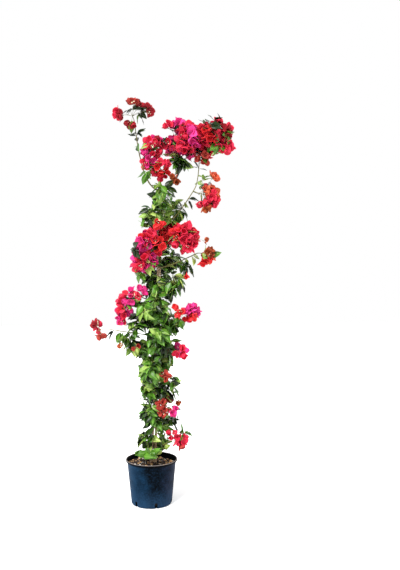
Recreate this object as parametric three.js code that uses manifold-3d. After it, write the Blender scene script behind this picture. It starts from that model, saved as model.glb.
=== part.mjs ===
// A tall bougainvillea in its nursery pot. A slender trunk and a second stem rise from the potting mix,
// boughs leave them, and every mass of leaves or of flower bracts is one shoot: a stem with twigs, and
// blades fused on the twigs. Millimetres, +Z up, the origin at the middle of the pot's underside,
// and -Y is the plant's front.
import * as THREE from "three";
import { mergeVertices } from "three/addons/utils/BufferGeometryUtils.js";
import Module from "manifold-3d";

const wasm = await Module();
wasm.setup();

// ---- Driving sizes: millimetres, with angles in degrees ----

const GAP = 0.35; // between two pieces that meet
const UP = new THREE.Vector3(0, 0, 1);
const GOLDEN_ANGLE = THREE.MathUtils.degToRad(137.508);

const POT = {
  height: 210,
  footRadius: 94, // the tapered body, at the underside
  topRadius: 114, // the tapered body, under the rim
  rimRadius: 120,
  rimDepth: 9,
  rimWall: 3,
  wall: 2.5,
  floor: 3,
  bevel: 7, // at the edge of the underside
  sides: 32,
  notches: 6,
  notchWidth: 9,
  notchHeight: 13,
  notchTurn: -78, // heading of the first drainage notch
};
const SOIL = { top: 192, middle: 40, edgeDrop: 6 };

const TRUNK = {
  foot: [13, 0],
  top: [42, 0, 1500],
  wander: 5, // how far the trunk sways from its lean
  sways: 2.2,
  radii: [6.2, 3.2],
  flare: 1.7, // the root flare, as a share of the foot's radius
  flareHeight: 55,
  sides: 8,
  steps: 28,
  crowding: 1.4, // rings stand closer together at the foot
  level: true,
};
const SECOND = {
  heading: 205, // where it stands beside the trunk
  turns: 0.3, // how far it winds round the trunk on its way up
  offset: 15,
  top: 1120,
  radii: [4.2, 2.4],
  sides: 6,
  steps: 16,
  level: true,
};

// Each bough: the limb it leaves, the share of that limb's length at which it does, and its tip.
const BOUGH = { radii: [3.2, 1.9], sides: 5, steps: 5, bend: 0.25 };
const BOUGHS = [
  { name: "bough_top_left", from: "trunk", at: 0.965, to: [-70, -10, 1755] },
  { name: "bough_crown", from: "trunk", at: 1, to: [205, -5, 1650] },
  { name: "bough_crown_right", from: "bough_crown", at: 1, to: [285, 5, 1690] },
  { name: "bough_loop_low", from: "trunk", at: 0.84, to: [200, -20, 1460] },
  { name: "bough_loop_top", from: "bough_loop_low", at: 1, to: [222, -15, 1588] },
  { name: "bough_mid_right", from: "trunk", at: 0.745, to: [115, -20, 1222] },
  { name: "bough_mid_sprig", from: "trunk", at: 0.695, to: [205, -25, 1165] },
  { name: "bough_low_left", from: "trunk", at: 0.575, to: [-62, -20, 975] },
  { name: "bough_far_left", from: "trunk", at: 0.455, to: [-195, -25, 822] },
  { name: "bough_low_right", from: "trunk", at: 0.5, to: [125, -15, 905] },
  { name: "bough_small_right", from: "trunk", at: 0.375, to: [108, -15, 712] },
  { name: "bough_base_right", from: "trunk", at: 0.055, to: [78, -20, 292] },
];

// Each mass: the limb its stem leaves and where, the stem's tip, how far the mass spreads from the stem,
// and how many twigs the stem bears.
const STEM = { radii: [2.6, 2], sides: 4, steps: 3, bend: 0.35 };
const LEAF_MASSES = [
  { name: "leaves_base_front", from: "trunk", at: 0.022, to: [-18, -52, 240], spread: 58, twigs: 4 },
  { name: "leaves_base_back", from: "trunk", at: 0.035, to: [48, 50, 262], spread: 58, twigs: 4 },
  { name: "leaves_foot_left", from: "trunk", at: 0.075, to: [-30, -12, 322], spread: 56, twigs: 4 },
  { name: "leaves_foot_back", from: "trunk", at: 0.12, to: [45, 46, 392], spread: 54, twigs: 4 },
  { name: "leaves_shin_front", from: "second_stem", at: 0.24, to: [-8, -38, 455], spread: 52, twigs: 4 },
  { name: "leaves_knee_left", from: "trunk", at: 0.235, to: [-38, 12, 560], spread: 60, twigs: 5 },
  { name: "leaves_knee_right", from: "trunk", at: 0.25, to: [88, -12, 575], spread: 58, twigs: 5 },
  { name: "leaves_waist_front", from: "second_stem", at: 0.458, to: [0, -52, 670], spread: 60, twigs: 5 },
  { name: "leaves_waist_back", from: "trunk", at: 0.345, to: [62, 58, 700], spread: 62, twigs: 5 },
  { name: "leaves_low_left", from: "trunk", at: 0.4, to: [-100, -20, 778], spread: 66, twigs: 5 },
  { name: "leaves_low_front", from: "second_stem", at: 0.607, to: [38, -62, 808], spread: 62, twigs: 5 },
  { name: "leaves_low_right", from: "trunk", at: 0.47, to: [98, 22, 850], spread: 62, twigs: 5 },
  { name: "leaves_low_back", from: "trunk", at: 0.5, to: [-12, 70, 880], spread: 64, twigs: 5 },
  { name: "leaves_ribs_front", from: "trunk", at: 0.545, to: [22, -62, 960], spread: 62, twigs: 5 },
  { name: "leaves_ribs_right", from: "trunk", at: 0.615, to: [110, -10, 1045], spread: 66, twigs: 5 },
  { name: "leaves_ribs_back", from: "trunk", at: 0.64, to: [20, 68, 1070], spread: 62, twigs: 5 },
  { name: "leaves_mid_right", from: "trunk", at: 0.72, to: [105, 34, 1150], spread: 60, twigs: 5 },
  { name: "leaves_neck_right", from: "trunk", at: 0.862, to: [122, 22, 1372], spread: 60, twigs: 5 },
  { name: "leaves_neck_left", from: "trunk", at: 0.855, to: [0, -34, 1362], spread: 56, twigs: 5 },
  { name: "leaves_head_front", from: "trunk", at: 0.915, to: [52, -50, 1458], spread: 62, twigs: 5 },
  { name: "leaves_under_crown", from: "bough_crown", at: 0.45, to: [140, -10, 1585], spread: 48, twigs: 4 },
];
const BRACT_MASSES = [
  { name: "bracts_tip", from: "bough_top_left", at: 1, to: [-84, -20, 1795], spread: 82, twigs: 5 },
  { name: "bracts_left_crown", from: "bough_top_left", at: 0.4, to: [12, -30, 1660], spread: 72, twigs: 10 },
  { name: "bracts_left_low", from: "bough_crown", at: 0.15, to: [40, -48, 1565], spread: 56, twigs: 7 },
  { name: "bracts_crown_left", from: "bough_crown", at: 0.62, to: [118, 0, 1722], spread: 60, twigs: 9 },
  { name: "bracts_crown_front", from: "bough_crown", at: 0.8, to: [172, -58, 1690], spread: 68, twigs: 11 },
  { name: "bracts_crown_back", from: "bough_crown_right", at: 0.3, to: [225, 68, 1715], spread: 72, twigs: 10 },
  { name: "bracts_crown_middle", from: "bough_crown_right", at: 0.5, to: [258, -55, 1705], spread: 68, twigs: 11 },
  { name: "bracts_crown_right", from: "bough_crown_right", at: 1, to: [315, 8, 1718], spread: 68, twigs: 9 },
  { name: "bracts_crown_low", from: "bough_crown_right", at: 0.85, to: [318, -25, 1648], spread: 58, twigs: 6 },
  { name: "bracts_under_crown", from: "bough_loop_top", at: 1, to: [246, -12, 1620], spread: 46, twigs: 4 },
  { name: "bracts_hanging", from: "bough_loop_low", at: 0.96, to: [256, -28, 1435], spread: 74, twigs: 10 },
  { name: "bracts_mid_left", from: "trunk", at: 0.775, to: [-15, -50, 1228], spread: 74, twigs: 10 },
  { name: "bracts_mid_left_low", from: "trunk", at: 0.72, to: [-40, -36, 1135], spread: 64, twigs: 8 },
  { name: "bracts_mid_right", from: "bough_mid_right", at: 1, to: [168, -26, 1248], spread: 74, twigs: 10 },
  { name: "bracts_mid_sprig", from: "bough_mid_sprig", at: 1, to: [256, -28, 1162], spread: 56, twigs: 6 },
  { name: "bracts_mid_back", from: "trunk", at: 0.79, to: [62, 72, 1270], spread: 66, twigs: 7 },
  { name: "bracts_low_left", from: "bough_low_left", at: 1, to: [-138, -30, 868], spread: 58, twigs: 10 },
  { name: "bracts_far_left", from: "bough_far_left", at: 1, to: [-246, -25, 812], spread: 46, twigs: 4 },
  { name: "bracts_low_right", from: "bough_low_right", at: 1, to: [172, -18, 898], spread: 64, twigs: 7 },
  { name: "bracts_small_right", from: "bough_small_right", at: 1, to: [148, -15, 718], spread: 46, twigs: 4 },
  { name: "bracts_low_front", from: "trunk", at: 0.19, to: [72, -32, 440], spread: 56, twigs: 5 },
  { name: "bracts_base_right", from: "bough_base_right", at: 1, to: [122, -20, 296], spread: 50, twigs: 4 },
];

const TWIG = { radii: [2, 1.6], sides: 3, steps: 1, first: 0.12, last: 0.95, droop: 0.12 };
const LEAF = { length: 74, width: 52, thickness: 3, widest: 0.42, perTwig: 4, facing: 0.9 };
const BRACT = { length: 54, width: 52, thickness: 2.8, widest: 0.55, perHead: 3, open: 72, facing: 0.2 };
const BOSS = 3; // how far the middle of a flower head rises over its twig
const SUNK = 0.4; // how far past the middle of its twig a blade is rooted
const TRIES = 8; // turns tried for a leaf or a head before it is left out
const CLEARANCE = 1; // a twig or blade keeps this far from any limb but its own
const LOWEST_LEAF = POT.height + 3; // foliage stays over the pot's rim

// ---- Joining and shaping helpers ----

const vector = (numbers) => new THREE.Vector3(...numbers);
const mix = (a, b, share) => a + (b - a) * share;

function solidOf(geometry) {
  const bare = geometry.clone().deleteAttribute("normal").deleteAttribute("uv");
  const merged = mergeVertices(bare, 1e-4);
  return new wasm.Manifold(
    new wasm.Mesh({
      numProp: 3,
      vertProperties: merged.attributes.position.array,
      triVerts: new Uint32Array(merged.index.array),
    }),
  );
}

function geometryOf(solid) {
  const mesh = solid.getMesh();
  const geometry = new THREE.BufferGeometry();
  geometry.setAttribute("position", new THREE.BufferAttribute(mesh.vertProperties, 3));
  geometry.setIndex(new THREE.BufferAttribute(mesh.triVerts, 1));
  geometry.computeVertexNormals();
  return geometry;
}

// One body of the fused pieces: loose scraps are dropped, and so are the walls of sealed hollows.
function fuse(solids) {
  const bodies = wasm.Manifold.union(solids).simplify(0.2).decompose();
  return bodies.reduce((largest, body) => (body.volume() > largest.volume() ? body : largest));
}

// An even stream of numbers from 0 to 1, the same ones for the same seed.
function stream(seed) {
  let state = seed;
  const next = () => {
    state = (1664525 * state + 1013904223) % 4294967296;
    return state / 4294967296;
  };
  for (let i = 0; i < 3; i++) next();
  return next;
}

// Two unit vectors square to a direction: the first level, the second as upright as it can be.
function squareTo(direction) {
  const level = new THREE.Vector3().crossVectors(direction, UP);
  if (level.lengthSq() < 1e-6) level.set(1, 0, 0);
  level.normalize();
  return [level, new THREE.Vector3().crossVectors(level, direction).normalize()];
}

// ---- Limbs: a curve, a radius that changes along it, and a closed tube bent to both ----

class TrunkCurve extends THREE.Curve {
  getPoint(share, target = new THREE.Vector3()) {
    const sway = share * TRUNK.sways * 2 * Math.PI;
    const x = mix(TRUNK.foot[0], TRUNK.top[0], share) + TRUNK.wander * Math.sin(sway);
    const y = mix(TRUNK.foot[1], TRUNK.top[1], share) + TRUNK.wander * 0.7 * Math.sin(sway * 0.6);
    return target.set(x, y, mix(SOIL.top + GAP, TRUNK.top[2], share));
  }
}

class WindingCurve extends THREE.Curve {
  constructor(core) {
    super();
    this.core = core;
    this.reach = (SECOND.top - SOIL.top) / (TRUNK.top[2] - SOIL.top);
  }
  getPoint(share, target = new THREE.Vector3()) {
    const turn = THREE.MathUtils.degToRad(SECOND.heading) + share * SECOND.turns * 2 * Math.PI;
    this.core.getPoint(share * this.reach, target);
    const away = SECOND.offset + 5 * (1 - share) ** 4;
    return target.add(new THREE.Vector3(Math.cos(turn) * away, Math.sin(turn) * away, 0));
  }
}

function trunkRadius(share) {
  const height = share * (TRUNK.top[2] - SOIL.top);
  const flare = 1 + (TRUNK.flare - 1) * Math.max(0, 1 - height / TRUNK.flareHeight) ** 2;
  return mix(...TRUNK.radii, share) * flare;
}

// The curve of a limb that leaves another one square to it, or goes on from its tip, and bends to its
// own tip.
function branchCurve(parent, row, form) {
  const centre = parent.curve.getPointAt(row.at);
  const along = parent.curve.getTangentAt(row.at);
  const tip = vector(row.to);
  const heading = along.clone();
  let away = GAP;
  if (row.at < 1) {
    heading.subVectors(tip, centre);
    heading.addScaledVector(along, -heading.dot(along)).normalize();
    away += parent.radius(row.at);
  }
  const foot = centre.addScaledVector(heading, away);
  const bend = foot.clone().addScaledVector(heading, form.bend * foot.distanceTo(tip));
  return new THREE.QuadraticBezierCurve3(foot, bend, tip);
}

function makeLimb(name, curve, radius, form) {
  const length = curve.getLength();
  const count = Math.ceil(length / 3);
  const trail = Array.from({ length: count + 1 }, (_, i) => ({
    point: curve.getPointAt(i / count),
    radius: radius(i / count),
  }));
  return { name, curve, radius, form, length, trail };
}

// Rings stand square to a bough; round the two upright stems they lie level, so that the feet are cut flat.
function limbGeometry(curve, radius, form) {
  const tube = new THREE.CylinderGeometry(1, 1, 1, form.sides, form.steps);
  const frames = curve.computeFrenetFrames(form.steps);
  const place = tube.attributes.position;
  for (let i = 0; i < place.count; i++) {
    const step = Math.round((place.getY(i) + 0.5) * form.steps);
    const share = (step / form.steps) ** (form.crowding ?? 1);
    const point = curve.getPointAt(share);
    const across = form.level ? new THREE.Vector3(1, 0, 0) : frames.normals[step];
    const side = form.level ? new THREE.Vector3(0, 1, 0) : frames.binormals[step];
    point.addScaledVector(across, place.getX(i) * radius(share));
    point.addScaledVector(side, -place.getZ(i) * radius(share));
    place.setXYZ(i, point.x, point.y, point.z);
  }
  return tube;
}

// ---- The pot and its potting mix ----

function latheUpright(profile) {
  const points = profile.map(([radius, height]) => new THREE.Vector2(radius, height));
  return new THREE.LatheGeometry(points, POT.sides).rotateX(Math.PI / 2);
}

const bodyRadius = (height) =>
  mix(POT.footRadius, POT.topRadius, height / (POT.height - POT.rimDepth));

function potGeometry() {
  const { height, rimRadius, rimDepth, rimWall, wall, floor, bevel } = POT;
  const skirt = height - rimDepth;
  const vessel = latheUpright([
    [0, 0],
    [bodyRadius(0) - bevel, 0],
    [bodyRadius(bevel), bevel],
    [bodyRadius(skirt), skirt],
    [rimRadius - 1, skirt],
    [rimRadius, skirt + 2],
    [rimRadius, height - 1.5],
    [rimRadius - 1.5, height],
    [rimRadius - rimWall, height],
    [bodyRadius(skirt) - wall, skirt],
    [bodyRadius(floor) - wall, floor],
    [0, floor],
  ]);
  const notch = new THREE.BoxGeometry(POT.notchHeight * 2, POT.notchWidth, POT.notchHeight * 2);
  const cutters = Array.from({ length: POT.notches }, (_, i) => {
    const turn = THREE.MathUtils.degToRad(POT.notchTurn) + (i / POT.notches) * 2 * Math.PI;
    const cutter = notch.clone().translate(POT.footRadius, 0, 0).rotateZ(turn);
    return solidOf(cutter);
  });
  return geometryOf(solidOf(vessel).subtract(wasm.Manifold.union(cutters)));
}

function soilGeometry() {
  const inside = (height) => bodyRadius(height) - POT.wall - GAP * 1.5;
  const bottom = POT.notchHeight + 1; // the mix has settled clear of the drainage notches
  return latheUpright([
    [0, POT.floor + GAP],
    [POT.footRadius - POT.notchHeight - 4, POT.floor + GAP],
    [inside(bottom), bottom],
    [inside(SOIL.top - SOIL.edgeDrop), SOIL.top - SOIL.edgeDrop],
    [SOIL.middle, SOIL.top],
    [0, SOIL.top],
  ]);
}

// ---- Blades: a leaf or a bract is four faces, folded along its rib ----

function bladeAt(root, direction, face, form) {
  const forward = direction.clone().normalize();
  const across = new THREE.Vector3().crossVectors(face, forward).normalize();
  const upper = new THREE.Vector3().crossVectors(forward, across);
  return { root, forward, across, upper, form };
}

function bladeGeometry(blade) {
  const { length, width, thickness, widest } = blade.form;
  const geometry = new THREE.TetrahedronGeometry(Math.sqrt(3)).rotateZ(Math.PI / 4);
  const place = geometry.attributes.position;
  for (let i = 0; i < place.count; i++) {
    const onRib = place.getZ(i) < 0;
    const along = onRib ? (Math.sign(place.getX(i)) + 1) / 2 : widest;
    const across = onRib ? 0 : Math.sign(place.getY(i)) / 2;
    place.setXYZ(i, along * length, across * width, onRib ? 0 : thickness);
  }
  const frame = new THREE.Matrix4().makeBasis(blade.forward, blade.across, blade.upper);
  return geometry.applyMatrix4(frame.setPosition(blade.root));
}

const halfWidth = (form, along) =>
  (form.width / 2) *
  Math.max(0, along < form.widest ? along / form.widest : (1 - along) / (1 - form.widest));

// Points spread over a blade, its corners among them.
function bladeTrail(blade) {
  const { length } = blade.form;
  return [0.15, 0.42, 0.7, 1].flatMap((along) =>
    [-1, 0, 1].map((side) => ({
      point: blade.root
        .clone()
        .addScaledVector(blade.forward, length * along)
        .addScaledVector(blade.across, side * halfWidth(blade.form, along)),
      radius: 0.5,
    })),
  );
}

function bladeTouches(blade, limb) {
  const { length, thickness } = blade.form;
  const from = new THREE.Vector3();
  return limb.trail.some(({ point, radius }) => {
    from.subVectors(point, blade.root);
    const near = radius + CLEARANCE;
    const along = from.dot(blade.forward);
    const height = from.dot(blade.upper);
    return (
      along > -near &&
      along < length + near &&
      height < near + thickness &&
      height > -near - thickness &&
      Math.abs(from.dot(blade.across)) < halfWidth(blade.form, along / length) + near
    );
  });
}

// ---- Masses: each is one shoot that keeps to its own space ----

// The power of a point: how far inside or outside a mass's round reach it lies. A point belongs to the
// mass with the least power, so that the spaces meet at flat walls and never overlap.
const power = (point, mass) => point.distanceToSquared(mass.centre) - mass.spread ** 2;

function inOwnSpace(point, mass, masses) {
  if (point.z < LOWEST_LEAF) return false;
  return masses.every(
    (other) =>
      other === mass ||
      power(point, other) - power(point, mass) >
        2 * CLEARANCE * mass.centre.distanceTo(other.centre),
  );
}

function trailsTouch(trail, limb) {
  return trail.some((a) =>
    limb.trail.some((b) => a.point.distanceTo(b.point) < a.radius + b.radius + CLEARANCE),
  );
}

// Twigs leave the stem by the golden angle, lean further forward towards its tip, and sink a little
// under their load.
function twigOf(mass, number, stretch, draw) {
  const share = mix(TWIG.first, TWIG.last, (number + 1) / mass.twigs);
  const root = mass.stem.curve.getPointAt(share);
  const forward = mass.stem.curve.getTangentAt(share);
  const [level, upright] = squareTo(forward);
  const turn = mass.turn + number * GOLDEN_ANGLE;
  const direction = level
    .multiplyScalar(Math.cos(turn))
    .addScaledVector(upright, Math.sin(turn))
    .multiplyScalar(1.1 - 0.6 * share)
    .addScaledVector(forward, 0.2 + 0.5 * share)
    .normalize();
  const length = (mass.spread * mix(0.85, 1.1, draw()) - mass.blade.length * 0.5) * stretch;
  const tip = root.clone().addScaledVector(direction, length);
  tip.addScaledVector(UP, -TWIG.droop * length);
  return makeLimb(mass.name, new THREE.LineCurve3(root, tip), (s) => mix(...TWIG.radii, s), TWIG);
}

// The way a blade shows its face: away from the trunk, along its twig, and a little upwards.
function outlook(mass, twig, draw) {
  const along = twig.curve.getTangentAt(1);
  const face = new THREE.Vector3(draw() - 0.5, draw() - 0.5, draw() - 0.5).multiplyScalar(0.9);
  return face
    .addScaledVector(mass.outward, mass.blade.facing)
    .addScaledVector(along, 0.9)
    .addScaledVector(UP, 0.4)
    .normalize();
}

// A leaf hangs in the plane of its face, at any turn.
function leafAt(mass, twig, share, draw) {
  const face = outlook(mass, twig, draw);
  const direction = twig.curve.getTangentAt(share).multiplyScalar(0.6);
  direction.add(new THREE.Vector3(draw() - 0.5, draw() - 0.5, draw() - 0.5).multiplyScalar(2.2));
  direction.addScaledVector(UP, -0.35).addScaledVector(face, -direction.dot(face)).normalize();
  const root = twig.curve.getPointAt(share).addScaledVector(direction, -SUNK);
  return bladeAt(root, direction, face, mass.blade);
}

// Leaves stand along a twig and one ends it. Each turns until it has room, or is left out.
function leafyTwig(mass, twig, fits, draw) {
  const blades = [];
  for (let i = 0; i < mass.blade.perTwig; i++) {
    const share = mix(0.4, 0.92, i / (mass.blade.perTwig - 1));
    for (let attempt = 0; attempt < TRIES; attempt++) {
      const blade = leafAt(mass, twig, share, draw);
      const leaning = Math.abs(blade.forward.dot(twig.curve.getTangentAt(share)));
      if (leaning > 0.85 || !fits(blade, blades)) continue;
      blades.push(blade);
      break;
    }
  }
  const geometries = [limbGeometry(twig.curve, twig.radius, TWIG), ...blades.map(bladeGeometry)];
  return { blades, solids: geometries.map(solidOf) };
}

// Three bracts make a head at the twig's tip: one stands on each side of the twig, opened like a cup.
function headAt(mass, twig, draw) {
  const axis = twig.curve.getTangentAt(1);
  const [level, upright] = squareTo(axis);
  const first = draw() * 2 * Math.PI;
  const toSide = (turn) =>
    level.clone().multiplyScalar(Math.cos(turn)).addScaledVector(upright, -Math.sin(turn));
  const corners = [];
  const blades = [];
  for (let i = 0; i < 3; i++) {
    const turn = first + (i / 3) * 2 * Math.PI;
    const open = THREE.MathUtils.degToRad(mass.blade.open * mix(0.85, 1.15, draw()));
    const side = toSide(turn + Math.PI / 3);
    const direction = axis.clone().multiplyScalar(Math.cos(open)).addScaledVector(side, Math.sin(open));
    const face = axis.clone().multiplyScalar(Math.sin(open)).addScaledVector(side, -Math.cos(open));
    corners.push(toSide(turn));
    blades.push(bladeAt(twig.curve.getPointAt(1), direction, face, mass.blade));
  }
  return { axis, corners, blades };
}

// The twig and its head as one shell: three sides up the twig, a bract out of each side that bears one,
// and a boss between the bracts.
function headGeometry(twig, head) {
  const { axis, corners, blades, kept } = head;
  const [foot, tip] = [twig.curve.getPointAt(0), twig.curve.getPointAt(1)];
  const points = [
    ...corners.map((corner) => foot.clone().addScaledVector(corner, twig.radius(0))),
    ...corners.map((corner) => tip.clone().addScaledVector(corner, twig.radius(1))),
    tip.clone().addScaledVector(axis, BOSS),
  ];
  const boss = 6;
  const faces = [[0, 2, 1]];
  for (let i = 0; i < 3; i++) {
    const next = (i + 1) % 3;
    const [low, lowNext, top, topNext] = [i, next, i + 3, next + 3];
    faces.push([low, lowNext, topNext], [low, topNext, top]);
    if (!kept[i]) {
      faces.push([boss, top, topNext]);
      continue;
    }
    const { root, forward, across, upper, form } = blades[i];
    const middle = root.clone().addScaledVector(forward, form.length * form.widest);
    middle.addScaledVector(upper, form.thickness);
    const [near, far, end] = [points.length, points.length + 1, points.length + 2];
    points.push(middle.clone().addScaledVector(across, -form.width / 2));
    points.push(middle.clone().addScaledVector(across, form.width / 2));
    points.push(root.clone().addScaledVector(forward, form.length));
    faces.push([top, topNext, end], [topNext, far, end], [top, end, near]);
    faces.push([boss, top, near], [boss, near, far], [near, end, far], [boss, far, topNext]);
  }
  const geometry = new THREE.BufferGeometry().setFromPoints(points);
  geometry.setIndex(faces.flat());
  return geometry;
}

function floweringTwig(mass, twig, fits, draw) {
  let best = { count: 0 };
  for (let attempt = 0; attempt < TRIES && best.count < 3; attempt++) {
    const head = headAt(mass, twig, draw);
    head.kept = head.blades.map((blade) => fits(blade, []));
    head.count = head.kept.filter(Boolean).length;
    if (head.count > best.count) best = head;
  }
  if (best.count === 0) return { blades: [], solids: [] };
  const blades = best.blades.filter((_, i) => best.kept[i]);
  return { blades, solids: [solidOf(headGeometry(twig, best))] };
}

// A shorter twig is tried where the full one would leave the space or touch a limb.
function roomyTwig(mass, number, masses, others, draw) {
  for (const stretch of [1, 0.75, 0.5]) {
    const twig = twigOf(mass, number, stretch, draw);
    const inside = twig.trail.every(({ point }) => inOwnSpace(point, mass, masses));
    if (inside && !others.some((limb) => trailsTouch(twig.trail, limb))) return twig;
  }
  return null;
}

function growMass(mass, masses, limbs) {
  const others = limbs.filter((limb) => limb !== mass.stem);
  const solids = [solidOf(limbGeometry(mass.stem.curve, mass.stem.radius, STEM))];
  const kept = [];
  const shoots = [mass.stem];
  const fits = (blade, siblings) => {
    blade.trail = bladeTrail(blade);
    return (
      blade.trail.every(({ point }) => inOwnSpace(point, mass, masses)) &&
      ![...others, ...shoots].some((limb) => bladeTouches(blade, limb)) &&
      ![...kept, ...siblings].some((other) => bladeTouches(blade, other) || bladeTouches(other, blade))
    );
  };
  for (let number = 0; number < mass.twigs; number++) {
    const draw = stream(mass.seed * 64 + number);
    const twig = roomyTwig(mass, number, masses, others, draw);
    if (!twig) continue;
    const grown = mass.bearing(mass, twig, fits, draw);
    if (grown.blades.length === 0) continue;
    kept.push(...grown.blades);
    shoots.push(twig);
    solids.push(...grown.solids);
  }
  return geometryOf(fuse(solids));
}

// ---- Materials ----

const finish = (color, roughness) => new THREE.MeshStandardMaterial({ color, roughness, metalness: 0 });
const MATERIALS = {
  pot: finish("#1d2a3a", 0.5),
  soil: finish("#4a3226", 0.95),
  bark: finish("#9a8266", 0.85),
  shoot: finish("#6f7a3f", 0.7),
  leaf: finish("#3f7a2c", 0.55),
  bract: finish("#d8163f", 0.6),
};

// ---- The whole plant ----

const plant = new THREE.Group();

function add(name, geometry, material) {
  const mesh = new THREE.Mesh(geometry, material);
  mesh.name = name;
  plant.add(mesh);
}

const limbs = new Map();

function addLimb(name, curve, radius, form) {
  limbs.set(name, makeLimb(name, curve, radius, form));
  return limbs.get(name);
}

const trunk = addLimb("trunk", new TrunkCurve(), trunkRadius, TRUNK);
addLimb("second_stem", new WindingCurve(trunk.curve), (s) => mix(...SECOND.radii, s), SECOND);
for (const row of BOUGHS) {
  const curve = branchCurve(limbs.get(row.from), row, BOUGH);
  addLimb(row.name, curve, (s) => mix(...BOUGH.radii, s), BOUGH);
}

const masses = [
  ...LEAF_MASSES.map((row) => ({ ...row, blade: LEAF, bearing: leafyTwig, finish: MATERIALS.leaf })),
  ...BRACT_MASSES.map((row) => ({ ...row, blade: BRACT, bearing: floweringTwig, finish: MATERIALS.bract })),
].map((row, i) => {
  const curve = branchCurve(limbs.get(row.from), row, STEM);
  const stem = makeLimb(row.name, curve, (s) => mix(...STEM.radii, s), STEM);
  const centre = curve.getPointAt(0.6);
  const outward = centre.clone().sub(trunk.curve.getPoint(0.5)).setZ(0).normalize();
  return { ...row, stem, centre, outward, seed: i + 1, turn: i * 2.1 };
});

add("pot", potGeometry(), MATERIALS.pot);
add("soil", soilGeometry(), MATERIALS.soil);
for (const limb of limbs.values()) {
  const wood = ["trunk", "second_stem"].includes(limb.name) ? MATERIALS.bark : MATERIALS.shoot;
  add(limb.name, limbGeometry(limb.curve, limb.radius, limb.form), wood);
}
const allLimbs = [...limbs.values(), ...masses.map((mass) => mass.stem)];
for (const mass of masses) add(mass.name, growMass(mass, masses, allLimbs), mass.finish);

export default plant;
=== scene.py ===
"""A tall bougainvillea in its nursery pot, dressed round the solids of the frame.

Sizes are millimetres until a mesh is made. Limbs and masses follow the same table and the same rule as
the solids, and the shoots go on from there to finer twigs, natural leaves, bracts and florets.
"""

import math

import bmesh
import bpy
import numpy as np
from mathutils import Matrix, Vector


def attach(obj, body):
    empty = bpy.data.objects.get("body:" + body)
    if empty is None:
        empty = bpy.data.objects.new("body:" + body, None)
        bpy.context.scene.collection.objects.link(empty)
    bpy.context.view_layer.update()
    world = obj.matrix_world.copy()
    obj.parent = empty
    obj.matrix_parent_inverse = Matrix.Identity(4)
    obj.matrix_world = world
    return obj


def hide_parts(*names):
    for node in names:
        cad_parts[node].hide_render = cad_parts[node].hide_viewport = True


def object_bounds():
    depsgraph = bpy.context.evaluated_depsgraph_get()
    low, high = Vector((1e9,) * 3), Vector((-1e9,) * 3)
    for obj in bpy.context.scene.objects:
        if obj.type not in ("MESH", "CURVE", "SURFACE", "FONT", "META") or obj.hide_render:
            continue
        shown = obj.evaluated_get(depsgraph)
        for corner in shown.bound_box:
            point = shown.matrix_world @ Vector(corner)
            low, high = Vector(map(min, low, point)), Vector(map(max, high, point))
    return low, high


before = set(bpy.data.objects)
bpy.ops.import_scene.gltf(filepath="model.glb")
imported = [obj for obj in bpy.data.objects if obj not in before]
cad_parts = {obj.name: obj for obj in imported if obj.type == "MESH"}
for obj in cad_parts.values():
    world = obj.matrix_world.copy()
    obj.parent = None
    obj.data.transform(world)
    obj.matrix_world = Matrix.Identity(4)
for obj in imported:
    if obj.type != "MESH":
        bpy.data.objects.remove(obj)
CAD_LOW, CAD_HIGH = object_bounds()

MM = 0.001
UP = np.array([0.0, 0.0, 1.0])
GOLDEN_ANGLE = math.radians(137.508)

# ---- The pot, its mix and the limbs: the sizes of the solids ----

POT = dict(height=210, foot=94, top=114, rim=120, rim_depth=9, rim_wall=3, wall=2.5, floor=3)
POT_BEVEL = 7
POT_SIDES = 96
NOTCHES, NOTCH_TURN = 6, -78
NOTCH_WIDTH, NOTCH_DEPTH, NOTCH_RISE = 13, 13, 27  # the slots for draining, cut through the wall at the foot
SOIL_TOP, SOIL_MIDDLE, SOIL_DROP = 192, 40, 6
SOIL_SIDES, SOIL_RINGS, CHIPS = 72, 26, 360

TRUNK_FOOT, TRUNK_TOP = (13, 0), (42, 0, 1500)
TRUNK_WANDER, TRUNK_SWAYS = 5, 2.2
TRUNK_RADII, TRUNK_FLARE, FLARE_HEIGHT = (6.2, 3.2), 1.7, 55
SECOND_HEADING, SECOND_TURNS, SECOND_OFFSET, SECOND_TOP = 205, 0.3, 15, 1120
SECOND_RADII = (4.2, 2.4)

BOUGH_RADII, BOUGH_BEND = (3.2, 1.9), 0.25
STEM_RADII, STEM_BEND = (1.9, 1.1), 0.35
GAP = 0.35

# Each bough: the limb it leaves, the share of that limb's length at which it does, and its tip.
BOUGHS = (
    ("bough_top_left", "trunk", 0.965, (-70, -10, 1755)),
    ("bough_crown", "trunk", 1, (205, -5, 1650)),
    ("bough_crown_right", "bough_crown", 1, (285, 5, 1690)),
    ("bough_loop_low", "trunk", 0.84, (200, -20, 1460)),
    ("bough_loop_top", "bough_loop_low", 1, (222, -15, 1588)),
    ("bough_mid_right", "trunk", 0.745, (115, -20, 1222)),
    ("bough_mid_sprig", "trunk", 0.695, (205, -25, 1165)),
    ("bough_low_left", "trunk", 0.575, (-62, -20, 975)),
    ("bough_far_left", "trunk", 0.455, (-195, -25, 822)),
    ("bough_low_right", "trunk", 0.5, (125, -15, 905)),
    ("bough_small_right", "trunk", 0.375, (108, -15, 712)),
    ("bough_base_right", "trunk", 0.055, (78, -20, 292)),
)

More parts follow.
